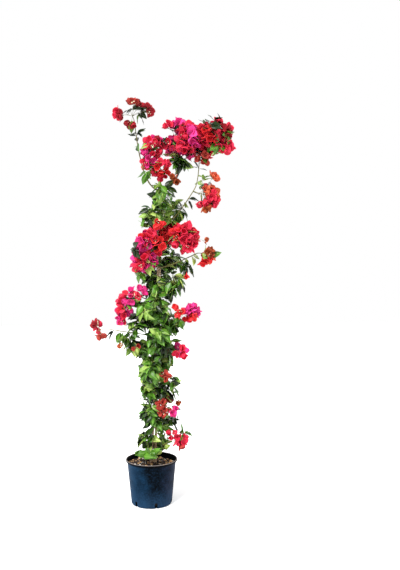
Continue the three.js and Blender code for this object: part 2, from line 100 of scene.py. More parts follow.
# Each mass: the limb its stem leaves and where, the stem's tip, how far it spreads, its twigs, its tones.
LEAF_MASSES = (
    ("leaves_base_front", "trunk", 0.022, (-18, -52, 240), 58, 4, "green"),
    ("leaves_base_back", "trunk", 0.035, (48, 50, 262), 58, 4, "fresh"),
    ("leaves_foot_left", "trunk", 0.075, (-30, -12, 322), 56, 4, "mixed"),
    ("leaves_foot_back", "trunk", 0.12, (45, 46, 392), 54, 4, "shade"),
    ("leaves_shin_front", "second_stem", 0.24, (-8, -38, 455), 52, 4, "shade"),
    ("leaves_knee_left", "trunk", 0.235, (-38, 12, 560), 60, 5, "mixed"),
    ("leaves_knee_right", "trunk", 0.25, (88, -12, 575), 58, 5, "mixed"),
    ("leaves_waist_front", "second_stem", 0.458, (0, -52, 670), 60, 5, "shade"),
    ("leaves_waist_back", "trunk", 0.345, (62, 58, 700), 62, 5, "mixed"),
    ("leaves_low_left", "trunk", 0.4, (-100, -20, 778), 66, 5, "mixed"),
    ("leaves_low_front", "second_stem", 0.607, (38, -62, 808), 62, 5, "shade"),
    ("leaves_low_right", "trunk", 0.47, (98, 22, 850), 62, 5, "mixed"),
    ("leaves_low_back", "trunk", 0.5, (-12, 70, 880), 64, 5, "mixed"),
    ("leaves_ribs_front", "trunk", 0.545, (22, -62, 960), 62, 5, "shade"),
    ("leaves_ribs_right", "trunk", 0.615, (110, -10, 1045), 66, 5, "mixed"),
    ("leaves_ribs_back", "trunk", 0.64, (20, 68, 1070), 62, 5, "shade"),
    ("leaves_mid_right", "trunk", 0.72, (105, 34, 1150), 60, 5, "mixed"),
    ("leaves_neck_right", "trunk", 0.862, (122, 22, 1372), 60, 5, "fresh"),
    ("leaves_neck_left", "trunk", 0.855, (0, -34, 1362), 56, 5, "mixed"),
    ("leaves_head_front", "trunk", 0.915, (52, -50, 1458), 62, 5, "mixed"),
    ("leaves_under_crown", "bough_crown", 0.45, (140, -10, 1585), 48, 4, "shade"),
)
REDS = "crimson crimson scarlet crimson"
BRACT_MASSES = (
    ("bracts_tip", "bough_top_left", 1, (-84, -20, 1795), 82, 5, "wine crimson rust wine"),
    ("bracts_left_crown", "bough_top_left", 0.4, (12, -30, 1660), 72, 10, "magenta crimson magenta crimson"),
    ("bracts_left_low", "bough_crown", 0.15, (40, -48, 1565), 56, 7, "crimson scarlet crimson"),
    ("bracts_crown_left", "bough_crown", 0.62, (118, 0, 1722), 60, 9, "magenta magenta crimson"),
    ("bracts_crown_front", "bough_crown", 0.8, (172, -58, 1690), 68, 11, "magenta crimson magenta crimson"),
    ("bracts_crown_back", "bough_crown_right", 0.3, (225, 68, 1715), 72, 10, "crimson magenta wine"),
    ("bracts_crown_middle", "bough_crown_right", 0.5, (258, -55, 1705), 68, 11, REDS),
    ("bracts_crown_right", "bough_crown_right", 1, (315, 8, 1718), 68, 9, "crimson wine crimson"),
    ("bracts_crown_low", "bough_crown_right", 0.85, (318, -25, 1648), 58, 6, "magenta crimson"),
    ("bracts_under_crown", "bough_loop_top", 1, (246, -12, 1620), 46, 4, "rust wine crimson"),
    ("bracts_hanging", "bough_loop_low", 0.96, (256, -28, 1435), 74, 10, "coral crimson coral crimson"),
    ("bracts_mid_left", "trunk", 0.775, (-15, -50, 1228), 74, 10, "magenta scarlet magenta crimson"),
    ("bracts_mid_left_low", "trunk", 0.72, (-40, -36, 1135), 64, 8, "magenta crimson magenta"),
    ("bracts_mid_right", "bough_mid_right", 1, (168, -26, 1248), 74, 10, "scarlet crimson scarlet crimson"),
    ("bracts_mid_sprig", "bough_mid_sprig", 1, (256, -28, 1162), 56, 6, "coral rust scarlet"),
    ("bracts_mid_back", "trunk", 0.79, (62, 72, 1270), 66, 7, "magenta scarlet crimson"),
    ("bracts_low_left", "bough_low_left", 1, (-138, -30, 868), 58, 10, "magenta crimson magenta"),
    ("bracts_far_left", "bough_far_left", 1, (-246, -25, 812), 46, 4, "wine crimson"),
    ("bracts_low_right", "bough_low_right", 1, (172, -18, 898), 64, 7, "magenta magenta scarlet"),
    ("bracts_small_right", "bough_small_right", 1, (148, -15, 718), 46, 4, "magenta crimson"),
    ("bracts_low_front", "trunk", 0.19, (72, -32, 440), 56, 5, "magenta scarlet magenta"),
    ("bracts_base_right", "bough_base_right", 1, (122, -20, 296), 50, 4, "crimson brick"),
)
# the shade mix deals more deep tones to masses that lie in the plant's shade: painted shade
GREENS = {
    "fresh": ("fresh", "middle", "fresh", "lime", "middle"),
    "green": ("middle", "fresh", "middle", "middle"),
    "mixed": ("middle", "deep", "fresh", "middle", "deep", "lime"),
    "shade": ("deep", "middle", "deep", "middle", "fresh"),
}

# ---- How the shoots grow on ----

TWIG_FIRST, TWIG_LAST, TWIG_DROOP = 0.05, 0.97, 0.14
TWIG_RADII, SHOOT_RADII, PEDICEL_RADII = (1.1, 0.7), (0.8, 0.5), (0.6, 0.5)
LEAFY_TWIGS, FLOWERING_TWIGS = 3.0, 1.7  # natural twigs for each one of the solids
# Masses, named without their kind, whose twigs keep close round the tip of the stem.
COMPACT_MASSES = ("under_crown", "mid_sprig", "low_right", "hanging", "base_right")
# Masses that are slim, with short twigs all along the stem.
SLIM_MASSES = ("low_left", "left_crown", "left_low")
# Sparse flowering masses: every shoot has its own place in the tables below, and the rule adds none.
PLACED_MASSES = ("tip", "low_front", "far_left", "small_right")
# Leaf masses with more or fewer twigs than the rule gives: how many times as many.
FULLNESS = {
    "leaves_base_front": 1.2,
    "leaves_base_back": 1.1,
    "leaves_low_left": 1.6,
    "leaves_low_front": 1.5,
    "leaves_low_right": 1.3,
    "leaves_waist_front": 1.4,
    "leaves_waist_back": 1.3,
    "leaves_neck_left": 0.8,
    "leaves_head_front": 1.1,
    "leaves_under_crown": 1.1,
}
# Between one leaf and the next: on a twig, a placed shoot, a spur, and between the tufts on a bough.
LEAF_SPACING, OWN_LEAF_SPACING, SPUR_LEAF_SPACING, BOUGH_LEAF_SPACING = 14, 5, 9, 26
LEAF_SCALES, LEAST_SPLAY = (0.76, 1.18), 0.93  # a leaf leans further off its twig than this cosine
LEAF_LENGTH, LEAF_WIDTH, LEAF_WIDEST = 57, 28, 0.46
BRACT_LENGTH, BRACT_WIDTH, BRACT_WIDEST = 35, 33, 0.45
BRACT_OPEN = (20, 48)  # degrees from the head's axis
DENSE_HEADS, LOOSE_HEADS = (0.95, 1.25), (0.8, 1.02)  # times the bract's size
HEAD_TRIES = 3
FLORETS_SHARE = 0.2  # of the heads have open florets
LEAFED_SHARE, TIP_LEAF_SHARE = 0.35, 0.1  # of the flowering twigs bear a leaf, and of their ends
# These carry no leaves but those of the tables below.
BARE = ("bough_top_left", "bracts_small_right", "bracts_far_left")
# Placed clusters: the mass whose stem bears each, its place, its tone and the size of its heads. The small
# ones are of two heads and the others of three.
LONE_HEADS = (
    ("leaves_head_front", (98, -62, 1488), "rust", 0.95),
    ("leaves_neck_left", (34, -72, 1312), "scarlet", 0.9),
    ("leaves_ribs_right", (150, -48, 1060), "scarlet", 0.7),
    ("leaves_low_left", (-124, -40, 752), "rust", 0.6),
    ("leaves_low_left", (-66, -70, 748), "brick", 0.65),
    ("leaves_knee_right", (62, -64, 602), "brick", 0.85),
    ("leaves_knee_left", (22, 80, 590), "crimson", 0.9),
    ("leaves_ribs_back", (10, 130, 1060), "magenta", 0.9),
    ("leaves_low_back", (-40, 132, 850), "scarlet", 0.9),
    ("leaves_waist_back", (90, 110, 690), "magenta", 0.9),
    ("leaves_foot_back", (60, 96, 410), "scarlet", 0.9),
    ("bracts_tip", (-118, -26, 1788), "wine", 0.95),
    ("bracts_tip", (-134, -14, 1796), "crimson", 0.95),
    ("bracts_tip", (-74, -24, 1830), "brick", 0.95),
    ("bracts_tip", (-54, -8, 1828), "wine", 0.9),
    ("bracts_tip", (-18, -26, 1808), "wine", 1.05),
    ("bracts_tip", (-84, -30, 1760), "wine", 0.95),
    ("bracts_far_left", (-242, -18, 836), "wine", 0.95),
    ("bracts_far_left", (-240, 8, 824), "crimson", 0.85),
    ("bracts_far_left", (-228, -26, 808), "brick", 0.9),
    ("bracts_low_front", (46, -52, 470), "brick", 0.85),
    ("bracts_low_front", (52, -58, 446), "brick", 0.8),
    ("bracts_low_front", (90, -52, 446), "magenta", 0.95),
    ("bracts_low_front", (66, 10, 470), "brick", 0.9),
    ("bracts_low_front", (108, -38, 474), "rust", 0.7),
    ("bracts_hanging", (276, -34, 1502), "coral", 0.95),
    ("bracts_hanging", (250, -44, 1388), "rust", 0.85),
    ("bracts_mid_right", (238, -30, 1226), "rust", 0.6),
    ("bracts_low_left", (-46, -44, 988), "magenta", 0.95),
    ("bracts_low_left", (-74, -50, 962), "crimson", 0.9),
    ("bracts_low_right", (132, -44, 908), "scarlet", 0.95),
    ("bracts_small_right", (134, -36, 722), "crimson", 1.05),
    ("bracts_small_right", (138, -14, 728), "magenta", 1.05),
    ("bracts_small_right", (134, 10, 720), "magenta", 1.0),
    ("bracts_base_right", (96, -40, 326), "crimson", 0.85),
    ("bracts_under_crown", (230, -44, 1604), "brick", 0.9),
    ("bracts_under_crown", (256, -36, 1596), "brick", 0.8),
    ("bracts_crown_left", (84, -34, 1662), "crimson", 0.9),
    ("bracts_crown_left", (48, -30, 1672), "wine", 0.8),
    ("bracts_crown_left", (108, -14, 1732), "magenta", 1.0),
    ("bracts_crown_left", (88, -24, 1736), "crimson", 0.9),
    ("bracts_crown_left", (124, -30, 1742), "magenta", 1.0),
)
# Open sky between the masses: the middle and the half width and height of each gap, seen from the front.
SKY = (
    (46, 1713, 82, 11),
    (164, 1494, 28, 54),
    (316, 1580, 46, 34),
    (-94, 545, 40, 80),
    (-124, 1125, 36, 60),
    (-116, 1245, 46, 40),
    (-198, 880, 32, 50),
    (-150, 816, 40, 22),
    (102, 250, 18, 22),
)
# Leafy shoots that stand out of the blossom: the mass, the shoot's tip and its tone.
LEAFY_SHOOTS = (
    ("bracts_crown_right", (290, -24, 1772), "deep"),
    ("bracts_crown_right", (326, 16, 1768), "deep"),
    ("bracts_crown_right", (356, -34, 1700), "middle"),
    ("bracts_crown_middle", (262, -112, 1742), "deep"),
    ("bracts_crown_low", (300, -84, 1652), "middle"),
    ("bracts_tip", (-44, -22, 1806), "deep"),
    ("bracts_tip", (-94, -20, 1818), "deep"),
    ("bracts_crown_left", (70, -40, 1672), "deep"),
    ("bracts_left_low", (-20, -64, 1530), "middle"),
    ("bracts_hanging", (234, -30, 1508), "fresh"),
    ("bracts_mid_left", (-86, -60, 1188), "deep"),
    ("bracts_mid_left_low", (-52, -50, 1068), "middle"),
    ("bracts_base_right", (156, -24, 344), "middle"),
    ("bracts_low_right", (124, -40, 852), "middle"),
    ("bracts_crown_back", (230, 132, 1690), "deep"),
    ("bracts_crown_back", (268, 118, 1770), "middle"),
    ("bracts_mid_back", (70, 134, 1240), "middle"),
    ("leaves_mid_right", (178, -34, 1102), "deep"),
    ("leaves_foot_back", (122, -8, 386), "deep"),
    ("leaves_base_front", (-60, -30, 246), "middle"),
    ("leaves_base_front", (-18, -66, 244), "middle"),
    ("leaves_base_back", (60, -24, 252), "lime"),
    ("leaves_base_back", (48, 84, 250), "middle"),
    ("leaves_low_left", (-104, -34, 842), "fresh"),
    ("leaves_low_left", (-62, -30, 896), "deep"),
    ("leaves_ribs_front", (-48, -56, 934), "middle"),
    ("leaves_ribs_front", (-40, -70, 900), "fresh"),
    ("leaves_low_front", (72, -60, 754), "deep"),
    ("leaves_waist_back", (86, 8, 762), "middle"),
    ("leaves_low_left", (-70, -50, 850), "middle"),
    ("leaves_low_left", (-46, -20, 876), "deep"),
    ("leaves_low_left", (-122, 0, 800), "middle"),
)
# Tufts of leaves along the boughs: the bough, the share of its length, how many leaves and their tone.
TUFTS = (
    ("bough_top_left", 0.96, 2, "middle"),
    ("bough_top_left", 0.84, 6, "deep"),
    ("bough_top_left", 0.72, 2, "middle"),
    ("bough_crown", 0.55, 5, "deep"),
    ("bough_loop_low", 0.25, 5, "fresh"),
    ("bough_far_left", 0.75, 4, "middle"),
)
# Short leafy spurs straight from the woody stems: the stem, the shares between which they stand, their tones.
# Their tones are mostly deep: painted shade inside the plant, near the stems.
SPURS = (
    ("trunk", 0.14, 0.66, ("deep", "middle", "deep", "fresh")),
    ("second_stem", 0.2, 0.88, ("deep", "deep", "middle")),
)
SPUR_SPACING, SPUR_LENGTHS = 15, (18, 44)
SHOOT_SEED, HEAD_SEED, BOUGH_SEED, SPUR_SEED, CHIP_SEED = 7000, 8000, 9000, 9500, 77
CLEARANCE = 1
BLADE_GAP = 8  # between the middles of two blades
SLACK = 12  # fine shoots mingle this far over the wall between two masses
REACH = 27  # past the spread, for the last leaf of a twig
LIMB_SEARCH = 110  # other limbs are looked for as far past a mass's spread as this
LOWEST_LEAF = POT["height"] + 18
ROOM_MARGIN = 6  # past the solids' own bounds
LEAF_TRIES = 6


class Draw:
    """An even stream of numbers from 0 to 1, the same ones for the same seed."""

    def __init__(self, seed):
        self.state = seed
        for _ in range(3):
            self()

    def __call__(self):
        self.state = (1664525 * self.state + 1013904223) % 4294967296
        return self.state / 4294967296

    def between(self, low, high):
        return low + (high - low) * self()

    def pick(self, options):
        return options[int(self() * len(options))]

    def around(self, size):
        return (np.array([self(), self(), self()]) - 0.5) * size


def mix(low, high, share):
    return low + (high - low) * share


def unit(v):
    return v / np.linalg.norm(v)


def square_to(direction):
    """Two unit vectors square to a direction: the first level, the second as upright as it can be."""
    level = np.cross(direction, UP)
    if level @ level < 1e-6:
        level = np.array([1.0, 0.0, 0.0])
    level = unit(level)
    return level, unit(np.cross(level, direction))


def beside(direction, turn):
    """A unit vector square to a direction, at a turn round it."""
    level, upright = square_to(direction)
    return level * math.cos(turn) + upright * math.sin(turn)


class Limb:
    """A curve and a radius along it. A share runs from 0 at the foot to 1 at the tip."""

    STEPS = np.linspace(0, 1, 201)

    def __init__(self, name, place, radius, sunk=0.0, level=False):
        self.name, self.place, self.radius, self.sunk, self.level = name, place, radius, sunk, level
        spans = np.linalg.norm(np.diff(place(self.STEPS), axis=0), axis=1)
        self.run = np.concatenate(([0.0], np.cumsum(spans)))
        self.length = self.run[-1]
        self.heading = self.tangent(0)

    def at(self, share):
        share = np.asarray(share, float)
        inside = np.interp(np.clip(share, 0, 1) * self.length, self.run, self.STEPS)
        before = np.minimum(share, 0) * self.length
        return self.place(inside) + before[..., None] * self.heading

    def tangent(self, share):
        middle = np.interp(share * self.length, self.run, self.STEPS)
        return unit(self.place(min(middle + 1e-4, 1)) - self.place(max(middle - 1e-4, 0)))

    def trail(self):
        shares = np.linspace(0, 1, math.ceil(self.length / 3) + 1)
        return self.at(shares), np.array([self.radius(s) for s in shares])


def bezier(foot, bend, tip):
    def place(t):
        t = np.asarray(t, float)[..., None]
        return (1 - t) ** 2 * foot + 2 * t * (1 - t) * bend + t**2 * tip

    return place


def trunk_place(t):
    t = np.asarray(t, float)
    sway = t * TRUNK_SWAYS * 2 * math.pi
    x = mix(TRUNK_FOOT[0], TRUNK_TOP[0], t) + TRUNK_WANDER * np.sin(sway)
    y = mix(TRUNK_FOOT[1], TRUNK_TOP[1], t) + TRUNK_WANDER * 0.7 * np.sin(sway * 0.6)
    return np.stack([x, y, mix(SOIL_TOP + GAP, TRUNK_TOP[2], t)], axis=-1)


def second_place(t):
    t = np.asarray(t, float)
    turn = math.radians(SECOND_HEADING) + t * SECOND_TURNS * 2 * math.pi
    away = SECOND_OFFSET + 5 * (1 - t) ** 4
    beside = np.stack([np.cos(turn) * away, np.sin(turn) * away, 0 * t], axis=-1)
    return trunk_place(t * (SECOND_TOP - SOIL_TOP) / (TRUNK_TOP[2] - SOIL_TOP)) + beside


def trunk_radius(share):
    height = share * (TRUNK_TOP[2] - SOIL_TOP)
    flare = 1 + (TRUNK_FLARE - 1) * max(0, 1 - height / FLARE_HEIGHT) ** 2
    return mix(*TRUNK_RADII, share) * flare


def taper(radii):
    return lambda share: mix(*radii, min(max(share, 0), 1))


def branch(name, parent, at, to, bend, radii):
    """A limb that leaves another one square to it, or goes on from its tip."""
    centre, along, tip = parent.at(at), parent.tangent(at), np.array(to, float)
    heading, away = along, GAP
    if at < 1:
        heading = tip - centre
        heading = unit(heading - along * (heading @ along))
        away += parent.radius(at)
    foot = centre + heading * away
    middle = foot + heading * bend * np.linalg.norm(foot - tip)
    return Limb(name, bezier(foot, middle, tip), taper(radii), sunk=away + 0.5)


limbs = {
    "trunk": Limb("trunk", trunk_place, trunk_radius, sunk=9, level=True),
    "second_stem": Limb("second_stem", second_place, taper(SECOND_RADII), sunk=9, level=True),
}
for name, parent, at, to in BOUGHS:
    # one that goes on from a tip starts as thick as that tip
    first = BOUGH_RADII[0]
    if at == 1:
        first = TRUNK_RADII[1] if parent == "trunk" else BOUGH_RADII[1]
    limbs[name] = branch(name, limbs[parent], at, to, BOUGH_BEND, (first, BOUGH_RADII[1]))


class Mass:
    """The space of one mass of leaves or bracts, and the stem that fills it."""

    def __init__(self, row, seed, flowering):
        self.name, parent, at, to, self.spread, self.twigs, tones = row
        self.flowering = flowering
        spot = self.name.split("_", 1)[1]
        self.compact = spot in COMPACT_MASSES
        self.slim = spot in SLIM_MASSES
        self.placed = flowering and spot in PLACED_MASSES
        self.fullness = FULLNESS.get(self.name, 1)
        self.tones = tones.split() if flowering else GREENS[tones]
        self.stem = branch(self.name, limbs[parent], at, to, STEM_BEND, STEM_RADII)
        self.centre = self.stem.at(0.6)
        away = self.centre - limbs["trunk"].place(0.5)
        self.outward = unit(away * (1, 1, 0))
        self.seed, self.turn = seed, (seed - 1) * 2.1


masses = [Mass(row, i + 1, False) for i, row in enumerate(LEAF_MASSES)]
masses += [Mass(row, len(LEAF_MASSES) + i + 1, True) for i, row in enumerate(BRACT_MASSES)]
CENTRES = np.array([m.centre for m in masses])
SPREADS = np.array([m.spread for m in masses], float)
TRAILS = {}
for limb in [*limbs.values(), *[m.stem for m in masses]]:
    TRAILS[limb.name] = limb.trail()
ROOM_LOW = np.array(CAD_LOW) / MM - ROOM_MARGIN
ROOM_HIGH = np.array(CAD_HIGH) / MM + ROOM_MARGIN


def in_open_sky(points):
    """Whether any of the points lies in a gap between the masses, seen from the front."""
    for x, z, half, tall in SKY:
        if (((points[:, 0] - x) / half) ** 2 + ((points[:, 2] - z) / tall) ** 2 < 1).any():
            return True
    return False


class Room:
    """Tests whether a blade stays inside the plant's bounds and clear of every limb but its own."""

    def __init__(self, name, middle, reach):
        others = [TRAILS[n] for n in TRAILS if n != name]
        points = np.concatenate([p for p, _ in others])
        radii = np.concatenate([r for _, r in others])
        near = np.linalg.norm(points - middle, axis=1) < reach
        self.points, self.radii = points[near], radii[near]
        self.blades = []

    def holds(self, points):
        inside = (points > ROOM_LOW).all() and (points < ROOM_HIGH).all()
        return bool(inside and points[:, 2].min() > LOWEST_LEAF and not in_open_sky(points))

    def clear_of_limbs(self, points, radius):
        if not len(self.points):
            return True
        away = np.linalg.norm(points[:, None] - self.points[None], axis=2)
        return bool((away > self.radii + radius + CLEARANCE).all())

    def takes(self, blade):
        root, forward, side, upper, length, width, widest = blade
        along = np.array([0.4, 0.7, 1.0])[:, None, None]
        aside = np.array([-0.5, 0, 0.5])[None, :, None]
        points = root + forward * length * along + side * width * aside * (along < 1)
        points = points.reshape(-1, 3)
        middle = points[1]
        if not self.holds(points) or any(np.linalg.norm(middle - b) < BLADE_GAP for b in self.blades):
            return False
        offset = self.points - root
        ahead, high = offset @ forward, np.abs(offset @ upper)
        share = ahead / length
        half = width / 2 * np.clip(np.minimum(share / widest, (1 - share) / (1 - widest)), 0, 1)
        near = self.radii + CLEARANCE
        hit = (ahead > -near) & (ahead < length + near) & (high < near) & (abs(offset @ side) < half + near)
        if hit.any():
            return False
        self.blades.append(middle)
        return True


class Space(Room):
    """The room of one mass: it also keeps twigs and blades to the mass's own space."""

    def __init__(self, mass):
        super().__init__(mass.name, mass.centre, mass.spread + LIMB_SEARCH)
        self.mass, self.own = mass, masses.index(mass)
        self.gaps = np.linalg.norm(CENTRES - mass.centre, axis=1)
        self.stem_points = TRAILS[mass.name][0]

    def holds(self, points):
        if not super().holds(points):
            return False
        gaps = np.linalg.norm(points[:, None] - CENTRES[None], axis=2) ** 2 - SPREADS**2
        over = gaps - gaps[:, self.own : self.own + 1] + 2 * SLACK * self.gaps
        over[:, self.own] = 1
        from_stem = np.linalg.norm(points[:, None] - self.stem_points[None], axis=2).min(axis=1)
        return bool((over > 0).all() and from_stem.max() < self.mass.spread + REACH)


# ---- Growing: every twig, leaf, bract and floret as a place, before any mesh is made ----

grown_twigs, grown_leaves, grown_bracts, grown_florets = [], [], [], []


def shoot_from(limb, share, direction, length, droop, radii, name):
    """A shoot that leaves a limb and droops towards its tip."""
    root = limb.at(share)
    tip = root + direction * length - UP * droop * length
    bend = root + direction * length * 0.55
    return Limb(name, bezier(root, bend, tip), taper(radii))


def outlook(mass, along, draw):
    """The way a blade shows its face: away from the trunk, along its twig, and a little upwards."""
    return unit(draw.around(1.5) + mass.outward * (0.3 if mass.flowering else 0.5) + along * 0.6 + UP * 0.5)


def leaf_on(limb, share, mass, space, tone, draw):
    """One leaf, set at random until the space takes it, and left out if it never does."""
    along = limb.tangent(share)
    for _ in range(LEAF_TRIES):
        face = outlook(mass, along, draw)
        forward = along * 0.7 + draw.around(2.2) - UP * 0.4
        forward = unit(forward - face * (forward @ face))
        if abs(forward @ along) > LEAST_SPLAY:
            continue
        scale = draw.between(*LEAF_SCALES)
        root = limb.at(share)
        side = np.cross(forward, face)
        length, width = LEAF_LENGTH * scale, LEAF_WIDTH * scale
        if space.takes((root, forward, side, face, length, width, LEAF_WIDEST)):
            grown_leaves.append((mass, tone, root, forward, side, face, scale, int(draw() * 3)))
            return


def dress_with_leaves(limb, mass, space, tone, draw, first, last, spacing):
    count = max(1, round(limb.length * (last - first) / spacing))
    for i in range(count):
        leaf_on(limb, mix(first, last, (i + 0.5) / count), mass, space, tone, draw)


def head_on(limb, mass, space, tone, draw, sizes):
    """Three bracts at the tip of a pedicel, opened like a cup, and the florets between them."""
    foot, axis = limb.at(1), limb.tangent(1)
    axis = unit(axis + mass.outward * 0.35 + UP * 0.1)
    for _ in range(HEAD_TRIES):
        first, scale = draw() * 2 * math.pi, draw.between(*sizes)
        kept = []
        for i in range(3):
            turn = first + i / 3 * 2 * math.pi
            opened = math.radians(draw.between(*BRACT_OPEN))
            out = beside(axis, turn)
            forward = axis * math.cos(opened) + out * math.sin(opened)
            face = axis * math.sin(opened) - out * math.cos(opened)
            side = np.cross(forward, face)
            root = foot + out * 0.8
            length, width = BRACT_LENGTH * scale, BRACT_WIDTH * scale
            if space.takes((root, forward, side, face, length, width, BRACT_WIDEST)):
                kept.append((mass, tone, root, forward, side, face, scale, int(draw() * 3)))
        if len(kept) >= 2:
            break
    else:
        return False
    grown_bracts.extend(kept)
    if draw() < FLORETS_SHARE:
        for i in range(3):
            out = beside(axis, first + (i / 3 + 0.04) * 2 * math.pi)
            forward = unit(axis + out * 0.35)
            side, face = square_to(forward)
            grown_florets.append((foot + out * 1.2, forward, side, face, draw.between(0.8, 1.05)))
    return True


def twig_of(mass, number, count, stretch, draw):
    """Twigs leave the stem by the golden angle and lean further forward towards its tip."""
    # where on the stem the twigs stand, their lengths as shares of the spread, and what the blades take off
    if mass.compact:
        span, reach, short = (0.35, 1), (0.5, 0.85), 24
    elif mass.slim:
        span, reach, short = (TWIG_FIRST, 1), (0.2, 0.55), 12
    elif mass.flowering:
        span, reach, short = (TWIG_FIRST, TWIG_LAST), (0.2, 0.85), 18
    else:
        span, reach, short = (TWIG_FIRST, TWIG_LAST), (0.6, 1.12), 18
    share = mix(*span, (number + 1) / count)
    forward = mass.stem.tangent(share)
    out = beside(forward, mass.turn + number * GOLDEN_ANGLE)
    direction = unit(out * (1.1 - 0.6 * share) + forward * (0.2 + 0.5 * share))
    length = max(mass.spread * draw.between(*reach) - short, 8) * stretch
    return shoot_from(mass.stem, share, direction, length, TWIG_DROOP, TWIG_RADII, mass.name)


def roomy_twig(mass, number, count, space, draw):
    """The twig as long as it should be, or shorter where that is too long for the space."""
    for stretch in (1, 0.75, 0.5):
        twig = twig_of(mass, number, count, stretch, draw)
        points = twig.at(np.linspace(0.1, 1, 8))
        if space.holds(points) and space.clear_of_limbs(points, 1):
            return twig
    return None


def side_shoots(twig, mass, space, draw, shares):
    """Finer shoots on alternate sides of a twig."""
    made = []
    side = square_to(twig.heading)[int(draw() * 2)]
    for i, share in enumerate(shares):
        direction = unit(twig.tangent(share) * 0.8 + side * (-1) ** i + draw.around(0.6))
        length = twig.length * draw.between(0.35, 0.55)
        shoot = shoot_from(twig, share, direction, length, TWIG_DROOP, SHOOT_RADII, mass.name)
        points = shoot.at(np.linspace(0.2, 1, 5))
        if space.holds(points) and space.clear_of_limbs(points, 1):
            made.append(shoot)
    return made


def grow_leafy(mass, space):
    """A mass of leaves: twigs with side shoots, both leafy from a third of their length on."""
    count = round(mass.twigs * LEAFY_TWIGS * mass.fullness)
    for number in range(count):
        draw = Draw(mass.seed * 64 + number)
        twig = roomy_twig(mass, number, count, space, draw)
        if twig is None:
            continue
        grown_twigs.append(twig)
        dress_with_leaves(twig, mass, space, draw.pick(mass.tones), draw, 0.3, 1, LEAF_SPACING)
        for shoot in side_shoots(twig, mass, space, draw, (0.4, 0.65)):
            grown_twigs.append(shoot)
            dress_with_leaves(shoot, mass, space, draw.pick(mass.tones), draw, 0.35, 1, LEAF_SPACING)


def grow_flowering(mass, space):
    """A flowering mass: each twig ends in a cluster of heads of one tone, and now and then bears a leaf."""
    dense = not (mass.compact or mass.slim)
    count = mass.twigs if mass.compact else round(mass.twigs * FLOWERING_TWIGS)
    for number in range(count):
        draw = Draw(mass.seed * 64 + number)
        twig = roomy_twig(mass, number, count, space, draw)
        if twig is None:
            continue
        tone, green = draw.pick(mass.tones), draw.pick(GREENS["mixed"])
        grown_twigs.append(twig)
        if draw() < LEAFED_SHARE:
            leaf_on(twig, draw.between(0.2, 0.6), mass, space, green, draw)
        ends = [twig]
        if dense:
            ends += side_shoots(twig, mass, space, draw, (0.6,))
        grown_twigs.extend(ends[1:])
        for end in ends:
            sizes = DENSE_HEADS if dense else LOOSE_HEADS
            cluster_on(end, mass, space, tone, draw, 3 if mass.compact else 2, sizes)
            if draw() < TIP_LEAF_SHARE:
                leaf_on(end, 0.97, mass, space, green, draw)


def cluster_on(end, mass, space, tone, draw, count, sizes):
    """A few heads close together, each on its own short pedicel."""
    first = draw() * 2 * math.pi
    for i in range(count):
        out = beside(end.tangent(1), first + i / count * 2 * math.pi)
        direction = unit(end.tangent(1) + out * draw.between(0.6, 1.2))
        pedicel = shoot_from(end, 1, direction, draw.between(6, 11), 0, PEDICEL_RADII, mass.name)
        if head_on(pedicel, mass, space, tone, draw, sizes):
            grown_twigs.append(pedicel)


def own_shoot(mass, tip):
    """A shoot from the mass's stem to a tip of its own."""
    root, tip = mass.stem.at(0.75), np.array(tip, float)
    return Limb(mass.name, bezier(root, mix(root, tip, 0.5) + UP * 6, tip), taper(SHOOT_RADII))


def grow_own_shoots(mass):
    """The shoots that have their own places in the tables."""
    room = Room(mass.name, mass.centre, mass.spread + LIMB_SEARCH)
    for i, (name, tip, tone, size) in enumerate(LONE_HEADS):
        if name == mass.name:
            draw, shoot = Draw(HEAD_SEED + i), own_shoot(mass, tip)
            grown_twigs.append(shoot)
            if mass.name not in BARE:
                leaf_on(shoot, 0.55, mass, room, draw.pick(GREENS["mixed"]), draw)
            cluster_on(shoot, mass, room, tone, draw, 2 if size < 0.8 else 3, (size - 0.1, size + 0.1))
    for i, (name, tip, tone) in enumerate(LEAFY_SHOOTS):
        if name == mass.name:
            draw, shoot = Draw(SHOOT_SEED + i), own_shoot(mass, tip)
            grown_twigs.append(shoot)
            dress_with_leaves(shoot, mass, room, tone, draw, 0.55, 1, OWN_LEAF_SPACING)
    return room.blades


class Wayside:
    """A bough as a bearer of leaves."""

    flowering = False

    def __init__(self, limb):
        self.centre = limb.at(0.6)
        self.outward = unit((self.centre - limbs["trunk"].place(0.5)) * (1, 1, 0))


def grow_on_bough(limb, seed):
    """A few leaves in small tufts along a bough."""
    draw, way = Draw(seed), Wayside(limb)
    room = Room(limb.name, way.centre, limb.length + 60)
    for name, share, count, tone in TUFTS:
        if name == limb.name:
            for _ in range(count):
                leaf_on(limb, share + draw.between(-0.03, 0.03), way, room, tone, draw)
    share = 1 if limb.name in BARE else 0.45
    while share < 0.97:
        tone = draw.pick(GREENS["mixed"])
        for _ in range(1 + int(draw() * 3)):
            leaf_on(limb, min(share + draw.between(0, 0.03), 1), way, room, tone, draw)
        share += BOUGH_LEAF_SPACING * draw.between(0.6, 1.5) / limb.length


def grow_spurs(limb, first, last, tones, seed):
    """Short leafy spurs by the golden angle along a woody stem."""
    way, number = Wayside(limb), 0
    room = Room(limb.name, way.centre, limb.length)
    while first + number * SPUR_SPACING / limb.length < last:
        draw = Draw(seed + number)
        share = first + number * SPUR_SPACING / limb.length
        direction = unit(beside(limb.tangent(share), number * GOLDEN_ANGLE) + UP * 0.3)
        length = draw.between(*SPUR_LENGTHS)
        spur = shoot_from(limb, share, direction, length, TWIG_DROOP, SHOOT_RADII, limb.name)
        if room.clear_of_limbs(spur.at(np.linspace(0.3, 1, 5)), 1):
            grown_twigs.append(spur)
            dress_with_leaves(spur, way, room, draw.pick(tones), draw, 0.4, 1, SPUR_LEAF_SPACING)
        number += 1


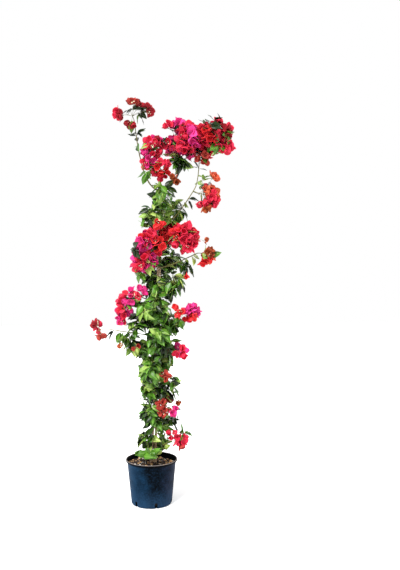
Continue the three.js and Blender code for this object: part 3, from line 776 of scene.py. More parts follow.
for mass in masses:
    space = Space(mass)
    space.blades += grow_own_shoots(mass)
    if mass.placed:
        continue
    if mass.flowering:
        grow_flowering(mass, space)
    else:
        grow_leafy(mass, space)
for i, row in enumerate(BOUGHS):
    grow_on_bough(limbs[row[0]], BOUGH_SEED + i)
for i, (name, first, last, tones) in enumerate(SPURS):
    grow_spurs(limbs[name], first, last, tones, SPUR_SEED + 200 * i)


# ---- Modelling by hand: a primitive, shaped in edit mode ----


def begin(kind, **settings):
    bpy.ops.object.select_all(action="DESELECT")
    getattr(bpy.ops.mesh, f"primitive_{kind}_add")(**settings)
    return bpy.context.object


def edit(on):
    bpy.ops.object.mode_set(mode="EDIT" if on else "OBJECT")


def pick(piece, kind, test):
    """In edit mode, selects the vertices, edges or faces whose corners all pass a test."""
    bpy.ops.mesh.select_mode(type=kind)
    bpy.ops.mesh.select_all(action="DESELECT")
    form = bmesh.from_edit_mesh(piece.data)
    for item in {"VERT": form.verts, "EDGE": form.edges, "FACE": form.faces}[kind]:
        corners = [item.co] if kind == "VERT" else [v.co for v in item.verts]
        if all(test(c) for c in corners):
            item.select_set(True)
    form.select_flush_mode()
    bmesh.update_edit_mesh(piece.data)


def choose(piece):
    bpy.ops.object.select_all(action="DESELECT")
    piece.select_set(True)
    bpy.context.view_layer.objects.active = piece


def finish_with(piece, kind, **settings):
    """Adds a modifier and applies it."""
    choose(piece)
    made = piece.modifiers.new(kind.title(), kind)
    for key, value in settings.items():
        setattr(made, key, value)
    bpy.ops.object.modifier_apply(modifier=made.name)


def turned(sides, profile):
    """A shell of rings: each is extruded from the last, raised, and scaled to its radius. Both ends are
    filled."""
    radius, height = profile[0]
    piece = begin("circle", vertices=sides, radius=radius * MM, location=(0, 0, height * MM))
    bpy.ops.object.transform_apply(location=True)
    edit(True)
    bpy.ops.mesh.select_mode(type="EDGE")
    bpy.ops.mesh.select_all(action="SELECT")
    bpy.ops.mesh.edge_face_add()
    pick(piece, "EDGE", lambda c: True)
    for (r0, z0), (r1, z1) in zip(profile, profile[1:]):
        bpy.ops.mesh.extrude_region_move(TRANSFORM_OT_translate={"value": (0, 0, (z1 - z0) * MM)})
        bpy.ops.transform.resize(value=(r1 / r0, r1 / r0, 1))
    bpy.ops.mesh.select_all(action="SELECT")
    bpy.ops.mesh.normals_make_consistent(inside=False)
    edit(False)
    return piece


def blade(stations, columns, thickness, rule):
    """A plane whose far edge is extruded from station to station and scaled to the outline, split into
    columns, bent by a rule and given its thickness. It grows along +Y and faces +Z."""
    piece = begin("plane", size=2)
    edit(True)
    for side, (along, half) in ((-1, stations[0]), (1, stations[1])):
        pick(piece, "EDGE", lambda c: c.y * side > 0.9)
        bpy.ops.transform.resize(value=(half * MM, 1, 1))
        bpy.ops.transform.translate(value=(0, along * MM - side, 0))
    for (y0, w0), (y1, w1) in zip(stations[1:], stations[2:]):
        bpy.ops.mesh.extrude_region_move(TRANSFORM_OT_translate={"value": (0, (y1 - y0) * MM, 0)})
        bpy.ops.transform.resize(value=(w1 / w0, 1, 1))
    bpy.ops.mesh.select_mode(type="EDGE")
    bpy.ops.mesh.select_all(action="DESELECT")
    form = bmesh.from_edit_mesh(piece.data)
    for edge in form.edges:
        low, high = (v.co for v in edge.verts)
        edge.select_set(abs(low.y - high.y) < 1e-6)
    bmesh.update_edit_mesh(piece.data)
    bpy.ops.mesh.subdivide(number_cuts=columns - 1)
    edit(False)
    for vertex in piece.data.vertices:
        vertex.co.z += rule(vertex.co.x / MM, vertex.co.y / MM) * MM
    finish_with(piece, "SOLIDIFY", thickness=thickness * MM, offset=0)
    return piece


class Pattern:
    """A modelled piece as arrays, ready to be copied many times."""

    def __init__(self, piece, length=1.0, width=1.0):
        mesh = piece.data
        self.points = np.empty(len(mesh.vertices) * 3)
        mesh.vertices.foreach_get("co", self.points)
        self.points = self.points.reshape(-1, 3) / MM
        self.corners = np.empty(len(mesh.loops), np.int64)
        mesh.loops.foreach_get("vertex_index", self.corners)
        self.sizes = np.empty(len(mesh.polygons), np.int64)
        mesh.polygons.foreach_get("loop_total", self.sizes)
        at = self.points[self.corners]
        self.uv = np.stack([at[:, 0] / width + 0.5, at[:, 1] / length], axis=1)
        bpy.data.objects.remove(piece)


class Heap:
    """Copies of patterns, joined as one mesh with a material slot for each tone."""

    def __init__(self):
        self.points, self.corners, self.sizes, self.uv, self.tones = [], [], [], [], []
        self.count = 0

    def add(self, pattern, points, tone=0):
        self.points.append(points)
        self.corners.append(pattern.corners + self.count)
        self.sizes.append(pattern.sizes)
        self.uv.append(pattern.uv)
        self.tones.append(np.full(len(pattern.sizes), tone))
        self.count += len(points)

    def stamp(self, pattern, root, forward, side, face, scale, tone=0):
        axes = np.stack([side, forward, face])
        self.add(pattern, pattern.points * scale @ axes + root, tone)

    def piece(self, name, materials):
        points = np.concatenate(self.points) * MM
        corners, sizes = np.concatenate(self.corners), np.concatenate(self.sizes)
        mesh = bpy.data.meshes.new(name)
        mesh.vertices.add(len(points))
        mesh.vertices.foreach_set("co", points.ravel())
        mesh.loops.add(len(corners))
        mesh.loops.foreach_set("vertex_index", corners)
        mesh.polygons.add(len(sizes))
        mesh.polygons.foreach_set("loop_start", np.concatenate(([0], np.cumsum(sizes)[:-1])))
        for material in materials:
            mesh.materials.append(material)
        mesh.polygons.foreach_set("material_index", np.concatenate(self.tones))
        mesh.polygons.foreach_set("use_smooth", np.ones(len(sizes), bool))
        layer = mesh.uv_layers.new(name="blade")
        layer.data.foreach_set("uv", np.concatenate(self.uv).ravel())
        mesh.update(calc_edges=True)
        mesh.validate()
        made = bpy.data.objects.new(name, mesh)
        bpy.context.scene.collection.objects.link(made)
        return made


def bent_along(pattern, limb):
    """The points of an upright rod of unit radius and height, bent to a limb's curve and radius."""
    heights = pattern.points[:, 2]
    levels, level_of = np.unique(np.round(heights, 3), return_inverse=True)
    sunk = limb.sunk / limb.length
    shares = levels * (1 + sunk) - sunk
    centres = limb.at(shares)
    tangents = np.gradient(centres, axis=0)
    tangents /= np.linalg.norm(tangents, axis=1)[:, None]
    if limb.level:
        first = np.tile([1.0, 0.0, 0.0], (len(levels), 1))
        second = np.tile([0.0, 1.0, 0.0], (len(levels), 1))
    else:
        first, normal = np.empty_like(tangents), square_to(tangents[0])[0]
        for i, tangent in enumerate(tangents):
            normal = unit(normal - tangent * (normal @ tangent))
            first[i] = normal
        second = np.cross(tangents, first)
    radii = np.array([limb.radius(s) for s in shares])[level_of][:, None]
    x, y = pattern.points[:, :1] * radii, pattern.points[:, 1:2] * radii
    return centres[level_of] + first[level_of] * x + second[level_of] * y


# ---- Materials ----


def linear(colour):
    """sRGB hex to linear."""
    parts = [int(colour[i : i + 2], 16) / 255 for i in (1, 3, 5)]
    return tuple(c / 12.92 if c <= 0.04045 else ((c + 0.055) / 1.055) ** 2.4 for c in parts) + (1,)


def put(tree, kind, settings={}, values={}, links={}):
    """Adds a node with its settings, its sockets' values, and its links as socket: (node, output)."""
    made = tree.nodes.new("ShaderNode" + kind)
    for key, value in settings.items():
        setattr(made, key, value)
    for key, value in values.items():
        made.inputs[key].default_value = value
    for key, (source, output) in links.items():
        tree.links.new(source.outputs[output], made.inputs[key])
    return made


def set_stops(ramp, stops):
    """Gives a colour ramp its stops, each a place from 0 to 1 and a colour."""
    elements = ramp.color_ramp.elements
    while len(elements) > len(stops):
        elements.remove(elements[-1])
    while len(elements) < len(stops):
        elements.new(1)
    for element, (place, colour) in zip(elements, stops):
        element.position, element.color = place, linear(colour)


def new_material(name, **values):
    """A material whose shader has these values, with its tree and shader."""
    material = bpy.data.materials.new(name)
    material.use_nodes = True
    tree = material.node_tree
    shader = tree.nodes["Principled BSDF"]
    for key, value in values.items():
        shader.inputs[key.replace("_", " ")].default_value = value
    return material, tree, shader


def join(tree, source, output, target, socket):
    tree.links.new(source.outputs[output], target.inputs[socket])


# the sockets of a Mix node that mixes colours: its share, its two colours and its result
SHARE, UNDER, OVER, MIXED = 0, 6, 7, 2


def leaf_material(name, dark, light, rib, gloss):
    """A bougainvillea leaf: a waxy skin that catches the light, cloudy green, with a paler rib and veins."""
    material, tree, shader = new_material(
        name,
        IOR=1.42,
        Roughness=gloss,
        Specular_IOR_Level=0.35,
        Subsurface_Weight=0.06,
        Subsurface_Scale=0.002,
    )
    shader.inputs["Subsurface Radius"].default_value = (0.5, 1.0, 0.2)
    place = put(tree, "TexCoord")
    # clouds of tone about a leaf across, 40 mm
    cloud = put(tree, "TexNoise", {}, {"Scale": 24, "Detail": 3}, {"Vector": (place, "Object")})
    tone = put(tree, "ValToRGB", {}, {}, {"Fac": (cloud, "Fac")})
    set_stops(tone, ((0.32, dark), (0.68, light)))
    parts = put(tree, "SeparateXYZ", {}, {}, {"Vector": (place, "UV")})
    off = put(tree, "Math", {"operation": "SUBTRACT"}, {1: 0.5}, {0: (parts, "X")})
    aside = put(tree, "Math", {"operation": "ABSOLUTE"}, {}, {0: (off, "Value")})
    # the rib is 2 mm wide, drawn broader than it grows so that it shows
    fade = {"From Min": 0.02, "From Max": 0.05, "To Min": 0.55, "To Max": 0.0}
    on_rib = put(tree, "MapRange", {}, fade, {"Value": (aside, "Value")})
    reach = {SHARE: (on_rib, "Result"), UNDER: (tone, "Color")}
    ribbed = put(tree, "Mix", {"data_type": "RGBA"}, {OVER: linear(rib)}, reach)
    join(tree, ribbed, MIXED, shader, "Base Color")
    # side veins leave the rib at a slant, eight to a leaf
    lean = {0: (aside, "Value"), 2: (parts, "Y")}
    slant = put(tree, "Math", {"operation": "MULTIPLY_ADD"}, {1: -0.9}, lean)
    beat = put(tree, "Math", {"operation": "MULTIPLY"}, {1: 50.0}, {0: (slant, "Value")})
    wave = put(tree, "Math", {"operation": "SINE"}, {}, {0: (beat, "Value")})
    # the skin's own grain, 2 mm
    grain = put(tree, "TexNoise", {}, {"Scale": 420}, {"Vector": (place, "Object")})
    both = {0: (wave, "Value"), 2: (grain, "Fac")}
    relief = put(tree, "Math", {"operation": "MULTIPLY_ADD"}, {1: 0.3}, both)
    depth = {"Strength": 0.35, "Distance": 0.0006}
    bump = put(tree, "Bump", {}, depth, {"Height": (relief, "Value")})
    join(tree, bump, "Normal", shader, "Normal")
    return material


def bract_material(name, deep, bright, base):
    """A bract: thin dry paper that glows a little where light comes through, crinkled, paler at its foot."""
    material, tree, shader = new_material(
        name, IOR=1.4, Roughness=0.6, Specular_IOR_Level=0.25, Subsurface_Weight=0.1, Subsurface_Scale=0.003
    )
    shader.inputs["Subsurface Radius"].default_value = (1.0, 0.25, 0.35)
    place = put(tree, "TexCoord")
    # the tone drifts over a bract's breadth, 33 mm
    cloud = put(tree, "TexNoise", {}, {"Scale": 30, "Detail": 3}, {"Vector": (place, "Object")})
    tone = put(tree, "ValToRGB", {}, {}, {"Fac": (cloud, "Fac")})
    set_stops(tone, ((0.3, deep), (0.62, bright)))
    parts = put(tree, "SeparateXYZ", {}, {}, {"Vector": (place, "UV")})
    fade = {"From Min": 0.0, "From Max": 0.35, "To Min": 0.6, "To Max": 0.0}
    near = put(tree, "MapRange", {}, fade, {"Value": (parts, "Y")})
    reach = {SHARE: (near, "Result"), UNDER: (tone, "Color")}
    footed = put(tree, "Mix", {"data_type": "RGBA"}, {OVER: linear(base)}, reach)
    join(tree, footed, MIXED, shader, "Base Color")
    # crinkles 4 mm apart
    crinkle = put(tree, "TexNoise", {}, {"Scale": 260, "Detail": 4}, {"Vector": (place, "Object")})
    depth = {"Strength": 0.5, "Distance": 0.0008}
    bump = put(tree, "Bump", {}, depth, {"Height": (crinkle, "Fac")})
    join(tree, bump, "Normal", shader, "Normal")
    return material


def matt_material(name, stops, roughness, grain, relief, stretch=1.0):
    """A matt stuff: its tone and its relief follow one grain, which may be drawn out along Z. The grain is so
    many to the metre with so much detail, and the relief a strength and a height in metres."""
    material, tree, shader = new_material(name, IOR=1.45, Roughness=roughness)
    place = put(tree, "TexCoord")
    drawn = put(tree, "Mapping", {}, {"Scale": (1, 1, stretch)}, {"Vector": (place, "Object")})
    size = {"Scale": grain[0], "Detail": grain[1]}
    patch = put(tree, "TexNoise", {}, size, {"Vector": (drawn, "Vector")})
    tone = put(tree, "ValToRGB", {}, {}, {"Fac": (patch, "Fac")})
    set_stops(tone, stops)
    join(tree, tone, "Color", shader, "Base Color")
    depth = {"Strength": relief[0], "Distance": relief[1]}
    bump = put(tree, "Bump", {}, depth, {"Height": (patch, "Fac")})
    join(tree, bump, "Normal", shader, "Normal")
    return material


LEAF_TONES = {
    "deep": leaf_material("waxy leaf, deep", "#040902", "#1a3208", "#364e18", 0.3),
    "middle": leaf_material("waxy leaf, middle", "#1c3a0c", "#568826", "#78a242", 0.32),
    "fresh": leaf_material("waxy leaf, fresh", "#446c18", "#8eaa50", "#aac076", 0.34),
    "lime": leaf_material("waxy leaf, young", "#6c8a2e", "#aabc62", "#c2ce86", 0.38),
}
BRACT_TONES = {
    "magenta": bract_material("papery bract, magenta", "#ba1e60", "#d63a86", "#cc6294"),
    "crimson": bract_material("papery bract, crimson", "#b61a30", "#d22e4c", "#c65064"),
    "scarlet": bract_material("papery bract, scarlet", "#c01a1e", "#d83438", "#c8544c"),
    "coral": bract_material("papery bract, coral", "#b44024", "#cc6244", "#c47a4e"),
    "brick": bract_material("papery bract, brick", "#781c18", "#a43c32", "#904838"),
    "rust": bract_material("papery bract, fading", "#6e2c14", "#a04c26", "#90623a"),
    "wine": bract_material("papery bract, wine", "#6c0e14", "#981c28", "#823036"),
}
# bark: matt, with cracks and streaks 4 mm apart that are drawn out along the limb
CRACKS = (260, 6)
WOODY = ((0.25, "#6c543e"), (0.5, "#a88e70"), (0.75, "#d4c0a2"))
SHOOTS = ((0.3, "#4c4a26"), (0.55, "#78753e"), (0.8, "#97804f"))
bark = matt_material("pale woody bark", WOODY, 0.82, CRACKS, (0.9, 0.0012), stretch=0.12)
green_bark = matt_material("green-brown shoot bark", SHOOTS, 0.82, CRACKS, (0.6, 0.0012), stretch=0.15)
# potting mix and its bits: open-grained and patchy, in grains of 5 to 8 mm
PEAT = ((0.35, "#040202"), (0.6, "#140c08"), (0.8, "#2c1c12"))
CRUMBLY = (0.9, 0.002)
peat = matt_material("peat potting mix", PEAT, 0.95, (160, 8), CRUMBLY)
CHIP_TONES = [
    matt_material("pine bark chip, tan", ((0.3, "#885a30"), (0.7, "#ceaa78")), 0.85, (120, 8), CRUMBLY),
    matt_material("pine bark chip, brown", ((0.3, "#120a06"), (0.7, "#3c2414")), 0.85, (120, 8), CRUMBLY),
    matt_material("perlite", ((0.3, "#b8b0a4"), (0.7, "#ece6dc")), 0.9, (200, 8), CRUMBLY),
]
# a floret is soft and waxy, with a grain of 5 mm
cream = matt_material("cream floret", ((0.3, "#d8cfa0"), (0.7, "#f6f0d4")), 0.6, (200, 8), CRUMBLY)


# the outside from left to right: painted light, lighter blue on the left where the key lamp falls, near black
# in the middle and paler slate on the right
POT_WALL_PAINTED_LIGHT = (
    (0.0, "#16324a"),
    (0.24, "#0a2236"),
    (0.46, "#010306"),
    (0.66, "#010306"),
    (0.82, "#101624"),
    (1.0, "#242a3a"),
)
# near black all over: painted shade for the inner wall, the rim's underside and the slots
INNER_PAINTED_SHADE = ((0.0, "#010204"), (1.0, "#04070a"))


def pot_material(name, painted_light_stops, dusting):
    """Black-blue polypropylene, injection moulded: a satin skin under a film of fine dust. Its stops are
    painted light and shade across it from left to right, lighter blue on the side the key lamp lights. A
    painted shadow darkens the band under the lip, and a painted highlight makes the lip's top paler."""
    material, tree, shader = new_material(name, IOR=1.49, Specular_IOR_Level=0.02)
    place = put(tree, "TexCoord")
    parts = put(tree, "SeparateXYZ", {}, {}, {"Vector": (place, "Object")})
    # broad patches, 45 mm and more, that mottle the edge of the painted light
    patch = put(tree, "TexNoise", {}, {"Scale": 22, "Detail": 6}, {"Vector": (place, "Object")})
    key_side_painted_light = {0: (patch, "Fac"), 2: (parts, "X")}
    shift = put(tree, "Math", {"operation": "MULTIPLY_ADD"}, {1: 0.14}, key_side_painted_light)
    turn = {"From Min": -0.05, "From Max": 0.19}
    side = put(tree, "MapRange", {}, turn, {"Value": (shift, "Value")})
    tone = put(tree, "ValToRGB", {}, {}, {"Fac": (side, "Result")})
    set_stops(tone, painted_light_stops)
    # dust: pale specks of 2 to 7 mm, drawn coarse enough to show, thicker towards the foot
    size = {"Scale": 150, "Detail": 6, "Roughness": 0.65}
    specks = put(tree, "TexNoise", {}, size, {"Vector": (place, "Object")})
    fall = {"From Min": 0.0, "From Max": 0.1, "To Min": 0.45, "To Max": 0.0}
    low = put(tree, "MapRange", {}, fall, {"Value": (parts, "Z")})
    lying = put(tree, "Math", {"operation": "ADD"}, {}, {0: (specks, "Fac"), 1: (low, "Result")})
    thickness = {"From Min": 0.46, "From Max": 1.2, "To Min": 0.0, "To Max": dusting}
    dust = put(tree, "MapRange", {}, thickness, {"Value": (lying, "Value")})
    reach = {SHARE: (dust, "Result"), UNDER: (tone, "Color")}
    layer = put(tree, "Mix", {"data_type": "RGBA"}, {OVER: linear("#24405c")}, reach)
    # a painted shadow as a black band under the lip, and a painted highlight as a paler line along the lip's
    # top, each from a height to a height in metres
    for start, end, most, colour in ((0.194, 0.2, 0.9, "#010203"), (0.2072, 0.2092, 0.8, "#7c7470")):
        rise = {"From Min": start, "From Max": end, "To Min": 0.0, "To Max": most}
        painted_band = put(tree, "MapRange", {}, rise, {"Value": (parts, "Z")})
        reach = {SHARE: (painted_band, "Result"), UNDER: (layer, MIXED)}
        layer = put(tree, "Mix", {"data_type": "RGBA"}, {OVER: linear(colour)}, reach)
    join(tree, layer, MIXED, shader, "Base Color")
    # dusty parts shine less
    dulled = {"From Min": 0.3, "From Max": 0.9, "To Min": 0.38, "To Max": 0.62}
    gloss = put(tree, "MapRange", {}, dulled, {"Value": (lying, "Value")})
    join(tree, gloss, "Result", shader, "Roughness")
    # a moulded grain, finer in truth: drawn 1.5 mm so that it shows
    pores = put(tree, "TexNoise", {}, {"Scale": 700}, {"Vector": (place, "Object")})
    depth = {"Strength": 0.2, "Distance": 0.0004}
    bump = put(tree, "Bump", {}, depth, {"Height": (pores, "Fac")})
    join(tree, bump, "Normal", shader, "Normal")
    return material


# ---- Patterns ----


def leaf_rule(fold, arch, wave):
    """A leaf is folded along its rib, arched towards its tip and a little wavy."""

    def rule(x, y):
        bow = fold * abs(x) - arch * (y / LEAF_LENGTH) ** 2 * 10
        return bow + wave * math.sin(y * 0.22 + x * 0.12)

    return rule


# the outlines: how far along, and half the width there, with a leaf's stalk before its blade
LEAF_STALK, LEAF_TIP = ((0, 0.6), (7, 0.7)), ((52, 3.4), (57, 0.4))
LEAF_OUTLINE = (*LEAF_STALK, (11, 7), (18, 12.4), (26, 14), (35, 12.6), (44, 8.4), *LEAF_TIP)
leaves = [
    Pattern(blade(LEAF_OUTLINE, 2, 0.6, leaf_rule(*form)), LEAF_LENGTH, LEAF_WIDTH)
    for form in ((0.25, 0.5, 0.6), (0.45, 1.1, 0.9), (0.12, 0.9, 1.4))
]


def bract_rule(cup, curl, ruffle, phase):
    """A bract is cupped, curled at its tip, and ruffled more towards its edges."""

    def rule(x, y):
        edge = abs(x) / (BRACT_WIDTH / 2)
        bow = cup * abs(x) - curl * (y / BRACT_LENGTH) ** 3 * 12
        return bow + ruffle * edge * math.sin(y * 0.35 + phase + x * 0.1)

    return rule


BRACT_OUTLINE = ((0, 1.4), (3, 8.5), (8, 14), (15, 16.5), (22, 15.8), (28, 12), (32.5, 6.5), (35, 1))
bracts = [
    Pattern(blade(BRACT_OUTLINE, 4, 0.5, bract_rule(*form)), BRACT_LENGTH, BRACT_WIDTH)
    for form in ((0.35, -0.5, 1.6, 0.0), (0.25, 0.4, 2.0, 2.1), (0.45, -0.8, 1.4, 4.0))
]


def floret_pattern():
    """A slender tube that opens in a five-pointed star."""
    piece = turned(10, ((0.9, 0), (1.3, 4), (0.9, 10), (1.2, 15), (4.4, 17), (0.8, 16.4)))
    edit(True)
    pick(piece, "VERT", lambda c: c.z > 16.9 * MM and round(math.degrees(math.atan2(c.y, c.x)) / 36) % 2 == 0)
    bpy.ops.transform.resize(value=(0.45, 0.45, 1))
    edit(False)
    for vertex in piece.data.vertices:  # laid along +Y, as the blades are
        vertex.co = (vertex.co.x, vertex.co.z, -vertex.co.y)
    return Pattern(piece, 17, 9)


floret = floret_pattern()


def rod(sides, rings, ridges=0.0, knots=0):
    """An upright rod of unit radius and height. Ridges are raised while it is squat, and come out long."""
    steps = [(1, i / rings) for i in range(rings + 1)]
    piece = turned(sides, steps)
    if ridges:
        clouds = bpy.data.textures.new("ridges", "CLOUDS")
        clouds.noise_scale = 0.5 * MM
        group = piece.vertex_groups.new(name="wall")
        group.add([v.index for v in piece.data.vertices if 0.001 < v.co.z / MM < 0.999], 1, "ADD")
        finish_with(
            piece, "DISPLACE", texture=clouds, strength=ridges * MM, mid_level=0.5,
            texture_coords="LOCAL", vertex_group="wall",
        )
    for vertex in piece.data.vertices:
        level = round(vertex.co.z / MM * rings) / rings
        vertex.co.z = level * MM
        if knots:
            swell = 1 + 0.16 * max(0, math.cos(level * knots * 2 * math.pi)) ** 12
            vertex.co.x *= swell
            vertex.co.y *= swell
    return Pattern(piece)


trunk_rod = rod(20, 220, 0.5, 21)
bough_rod = rod(10, 36, 0.3, 5)
twig_rod = rod(5, 6)
stalk_rod = rod(4, 2)
LONGEST_STALK = 20


def chip_pattern(size):
    """A flake of bark: a bevelled block, cut aslant and thinned."""
    piece = begin("cube", size=MM)
    edit(True)
    bpy.ops.mesh.select_all(action="SELECT")
    bpy.ops.transform.resize(value=size)
    bpy.ops.mesh.bisect(
        plane_co=(size[0] * 0.3 * MM, 0, 0), plane_no=(1, 0.5, 0.2), use_fill=True, clear_outer=True
    )
    bpy.ops.mesh.select_all(action="SELECT")
    bpy.ops.mesh.bevel(offset=0.6 * MM, segments=1)
    bpy.ops.mesh.select_all(action="SELECT")
    bpy.ops.mesh.normals_make_consistent(inside=False)
    edit(False)
    return Pattern(piece)


chips = [chip_pattern(s) for s in ((11, 7, 2.6), (7, 5, 3.5), (4.5, 4, 3.2))]

# ---- The pieces ----


def keep(piece, slot, *nodes):
    """Sets a finished piece on the body, in place of the nodes it stands for. Its slot is not used."""
    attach(piece, "root")
    if nodes:
        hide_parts(*nodes)


def smooth(piece, angle):
    """Shades a piece smooth except where its faces meet at more than an angle."""
    choose(piece)
    bpy.ops.object.shade_smooth_by_angle(angle=math.radians(angle))


def body_radius(height):
    return mix(POT["foot"], POT["top"], height / (POT["height"] - POT["rim_depth"]))


def build_pot():
    """A turned shell with a bevelled foot and a rolled rim, and slots cut through the foot for draining."""
    height, rim, wall = POT["height"], POT["rim"], POT["wall"]
    skirt = height - POT["rim_depth"]
    inner = rim - POT["rim_wall"]
    # from under the foot up the outside, over the rim and down the inside
    profile = [
        (body_radius(0) - POT_BEVEL - 6, 2.0),
        (body_radius(0) - POT_BEVEL - 3, 0.0),
        (body_radius(0) - POT_BEVEL, 0.0),
        (body_radius(0) - 2.5, 1.9),
        (body_radius(0) + 0.4, POT_BEVEL),
        (body_radius(40), 40),
        (body_radius(120), 120),
        (body_radius(skirt) - 0.3, skirt - 1),
        (body_radius(skirt), skirt),
        (rim - 1.2, skirt),
        (rim, skirt + 1.6),
        (rim, height - 2.2),
        (rim - 0.7, height - 0.6),
        (rim - 1.8, height),
        (inner + 0.4, height),
        (inner - 0.4, height - 0.9),
        (body_radius(skirt) - wall, skirt - 1),
        (body_radius(POT["floor"]) - wall, POT["floor"] + 1),
    ]
    pot = turned(POT_SIDES, profile)
    pot.name = "nursery_pot"
    # one rounded block, turned round to each slot
    cutter = begin("cube", size=1)
    edit(True)
    bpy.ops.mesh.select_all(action="SELECT")
    bpy.ops.transform.resize(value=(2 * NOTCH_DEPTH * MM, NOTCH_WIDTH * MM, 2 * NOTCH_RISE * MM))
    bpy.ops.mesh.bevel(offset=2.5 * MM, segments=3)
    bpy.ops.mesh.select_all(action="SELECT")
    bpy.ops.transform.translate(value=(POT["foot"] * MM, 0, 0))
    for _ in range(NOTCHES - 1):
        bpy.ops.mesh.duplicate()
        bpy.ops.transform.rotate(value=-2 * math.pi / NOTCHES, orient_axis="Z", center_override=(0, 0, 0))
    bpy.ops.mesh.select_all(action="SELECT")
    bpy.ops.transform.rotate(value=-math.radians(NOTCH_TURN), orient_axis="Z", center_override=(0, 0, 0))
    edit(False)
    finish_with(pot, "BOOLEAN", object=cutter, operation="DIFFERENCE", solver="EXACT")
    bpy.data.objects.remove(cutter)
    smooth(pot, 40)
    # the outside, with its painted light, painted shadow and painted highlight
    pot.data.materials.append(pot_material("moulded polypropylene", POT_WALL_PAINTED_LIGHT, 0.85))
    # the inner wall, the rim's underside and the slots' faces get a near-black copy without the painted
    # light: painted shade where they lie in shadow
    pot.data.materials.append(pot_material("moulded polypropylene, inner wall", INNER_PAINTED_SHADE, 0.1))
    for face in pot.data.polygons:
        outward = face.normal.x * face.center.x + face.normal.y * face.center.y
        in_painted_shade = outward < 0.25 * math.hypot(face.center.x, face.center.y)
        if in_painted_shade and 0.5 < face.center.z / MM < POT["height"] - 1.5:
            face.material_index = 1
    keep(pot, "pot", "pot")


def soil_height(radius, top):
    """The mix lies level in the middle and falls towards the wall."""
    return SOIL_TOP - SOIL_DROP * max(0, (radius - SOIL_MIDDLE) / (top - SOIL_MIDDLE))


def build_soil():
    """The lumpy mix, and the bark chips and pale crumbs that lie on it."""
    top = body_radius(SOIL_TOP - SOIL_DROP) - POT["wall"] - 0.6
    low = NOTCH_RISE + 3
    profile = [
        (POT["foot"] - NOTCH_DEPTH - 4, POT["floor"] + 1.5),
        (body_radius(low) - POT["wall"] - 0.6, low),
        (top, SOIL_TOP - SOIL_DROP),
    ]
    for i in range(1, SOIL_RINGS):
        radius = top * (1 - i / SOIL_RINGS)
        profile.append((radius, soil_height(radius, top)))
    soil = turned(SOIL_SIDES, profile)
    soil.name = "potting_mix"
    clouds = bpy.data.textures.new("lumps", "CLOUDS")
    clouds.noise_scale, clouds.noise_depth = 7 * MM, 3
    group = soil.vertex_groups.new(name="top")
    for vertex in soil.data.vertices:
        if math.hypot(*vertex.co[:2]) < (top - 2) * MM and vertex.co.z > SOIL_TOP * MM / 2:
            group.add([vertex.index], 1, "ADD")
    finish_with(
        soil, "DISPLACE", texture=clouds, strength=5 * MM, mid_level=0.5,
        direction="Z", texture_coords="LOCAL", vertex_group="top",
    )
    smooth(soil, 60)
    soil.data.materials.append(peat)
    keep(soil, "potting_mix", "soil")
    heap = Heap()
    draw = Draw(CHIP_SEED)
    for i in range(CHIPS):
        radius = math.sqrt(draw()) * (top - 6)
        turn = i * GOLDEN_ANGLE
        height = soil_height(radius, top) + draw.between(-0.5, 2.2)
        forward = unit(np.array([math.cos(draw() * 7), math.sin(draw() * 7), draw.between(-0.35, 0.35)]))
        face = unit(UP + draw.around(0.9))
        side = unit(np.cross(forward, face))
        kind = int(draw() * 3)
        # tan chips gather towards the wall, and pale bits are few
        if kind == 2 and draw() < 0.4:
            tone = 2
        else:
            tone = 0 if draw() < 0.14 + 0.46 * (radius / top) ** 2 else 1
        root = np.array([math.cos(turn) * radius, math.sin(turn) * radius, height])
        face = unit(np.cross(side, forward))
        heap.stamp(chips[kind], root, forward, side, face, draw.between(0.8, 1.7), tone)
    litter = heap.piece("bark_chips", CHIP_TONES)
    smooth(litter, 20)
    keep(litter, "potting_mix")


def build_limbs():
    """Bark for the stems and the boughs, and all the finer twigs as one piece."""
    heap = Heap()
    for name in ("trunk", "second_stem"):
        heap.add(trunk_rod, bent_along(trunk_rod, limbs[name]))
    keep(heap.piece("woody_stems", [bark]), "bark", "trunk", "second_stem")
    heap = Heap()
    names = [row[0] for row in BOUGHS]
    for name in names:
        heap.add(bough_rod, bent_along(bough_rod, limbs[name]))
    keep(heap.piece("arching_boughs", [green_bark]), "bough_bark", *names)
    heap = Heap()
    for mass in masses:
        heap.add(bough_rod, bent_along(bough_rod, mass.stem))
    for twig in grown_twigs:
        kind = stalk_rod if twig.length < LONGEST_STALK else twig_rod
        heap.add(kind, bent_along(kind, twig))
    keep(heap.piece("fine_twigs", [green_bark]), "bough_bark")


# the pieces that leaves and bracts are joined in, by the height of their mass
LAYERS = (("lower", 0, 1000), ("middle", 1000, 1400), ("upper", 1400, 3000))


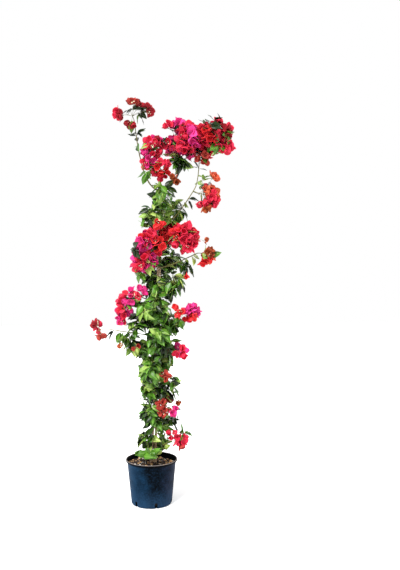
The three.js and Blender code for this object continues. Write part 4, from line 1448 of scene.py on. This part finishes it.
def build_blades():
    """Leaves and bracts, each kind apart, joined in a lower, a middle and an upper piece."""
    for kind, grown, patterns, tones in (
        ("leaves", grown_leaves, leaves, LEAF_TONES),
        ("bracts", grown_bracts, bracts, BRACT_TONES),
    ):
        order = list(tones)
        for part, low, high in LAYERS:
            heap = Heap()
            for mass, tone, root, forward, side, face, scale, shape in grown:
                if low <= mass.centre[2] < high:
                    heap.stamp(patterns[shape], root, forward, side, face, scale, order.index(tone))
            here = [m for m in masses if low <= m.centre[2] < high]
            nodes = [m.name for m in here if m.flowering == (kind == "bracts")]
            keep(heap.piece(f"{part}_{kind}", list(tones.values())), kind, *nodes)
    heap = Heap()
    for root, forward, side, face, scale in grown_florets:
        heap.stamp(floret, root, forward, side, face, scale)
    keep(heap.piece("cream_florets", [cream]), "bracts")


build_pot()
build_soil()
build_limbs()
build_blades()

# ---- The studio ----

floor = begin("plane", size=14)
edit(True)
bpy.ops.mesh.subdivide(number_cuts=1)
edit(False)
floor.name = "studio_floor"
paper, tree, shader = new_material("matt studio paper", Roughness=0.9)
place = put(tree, "TexCoord")
fibre = put(tree, "TexNoise", values={"Scale": 3}, links={"Vector": (place, "Object")})
tone = put(tree, "ValToRGB", links={"Fac": (fibre, "Fac")})
set_stops(tone, ((0.3, "#efefef"), (0.7, "#f5f5f5")))
join(tree, tone, "Color", shader, "Base Color")
floor.data.materials.append(paper)

world = bpy.data.worlds.new("studio")
bpy.context.scene.world = world
world.use_nodes = True
world.node_tree.nodes["Background"].inputs["Color"].default_value = (1, 1, 1, 1)
world.node_tree.nodes["Background"].inputs["Strength"].default_value = 1.0
bpy.context.scene.view_settings.view_transform = "Standard"

# a broad key from the upper left, a weaker one from behind on the right
for name, place, spread, power in (
    ("key", (-2.2, -3.0, 4.2), 24, 4.9),
    ("rim", (2.6, 3.0, 3.4), 20, 1.4),
):
    bpy.ops.object.light_add(type="SUN", location=place)
    lamp = bpy.context.object
    lamp.name, lamp.data.angle, lamp.data.energy = name, math.radians(spread), power
    lamp.rotation_euler = (
        math.atan2(math.hypot(place[0], place[1]), place[2]),
        0,
        math.atan2(place[1], place[0]) + math.pi / 2,
    )

# the camera stands 3.6 m off at chest height and looks a little down, a little to the right of the pot
bpy.ops.object.camera_add(location=(0, -3.6, 1.26), rotation=(math.radians(86.2), 0, math.radians(-3.6)))
camera = bpy.context.object
camera.data.lens, camera.data.sensor_width = 49.4, 36
bpy.context.scene.camera = camera
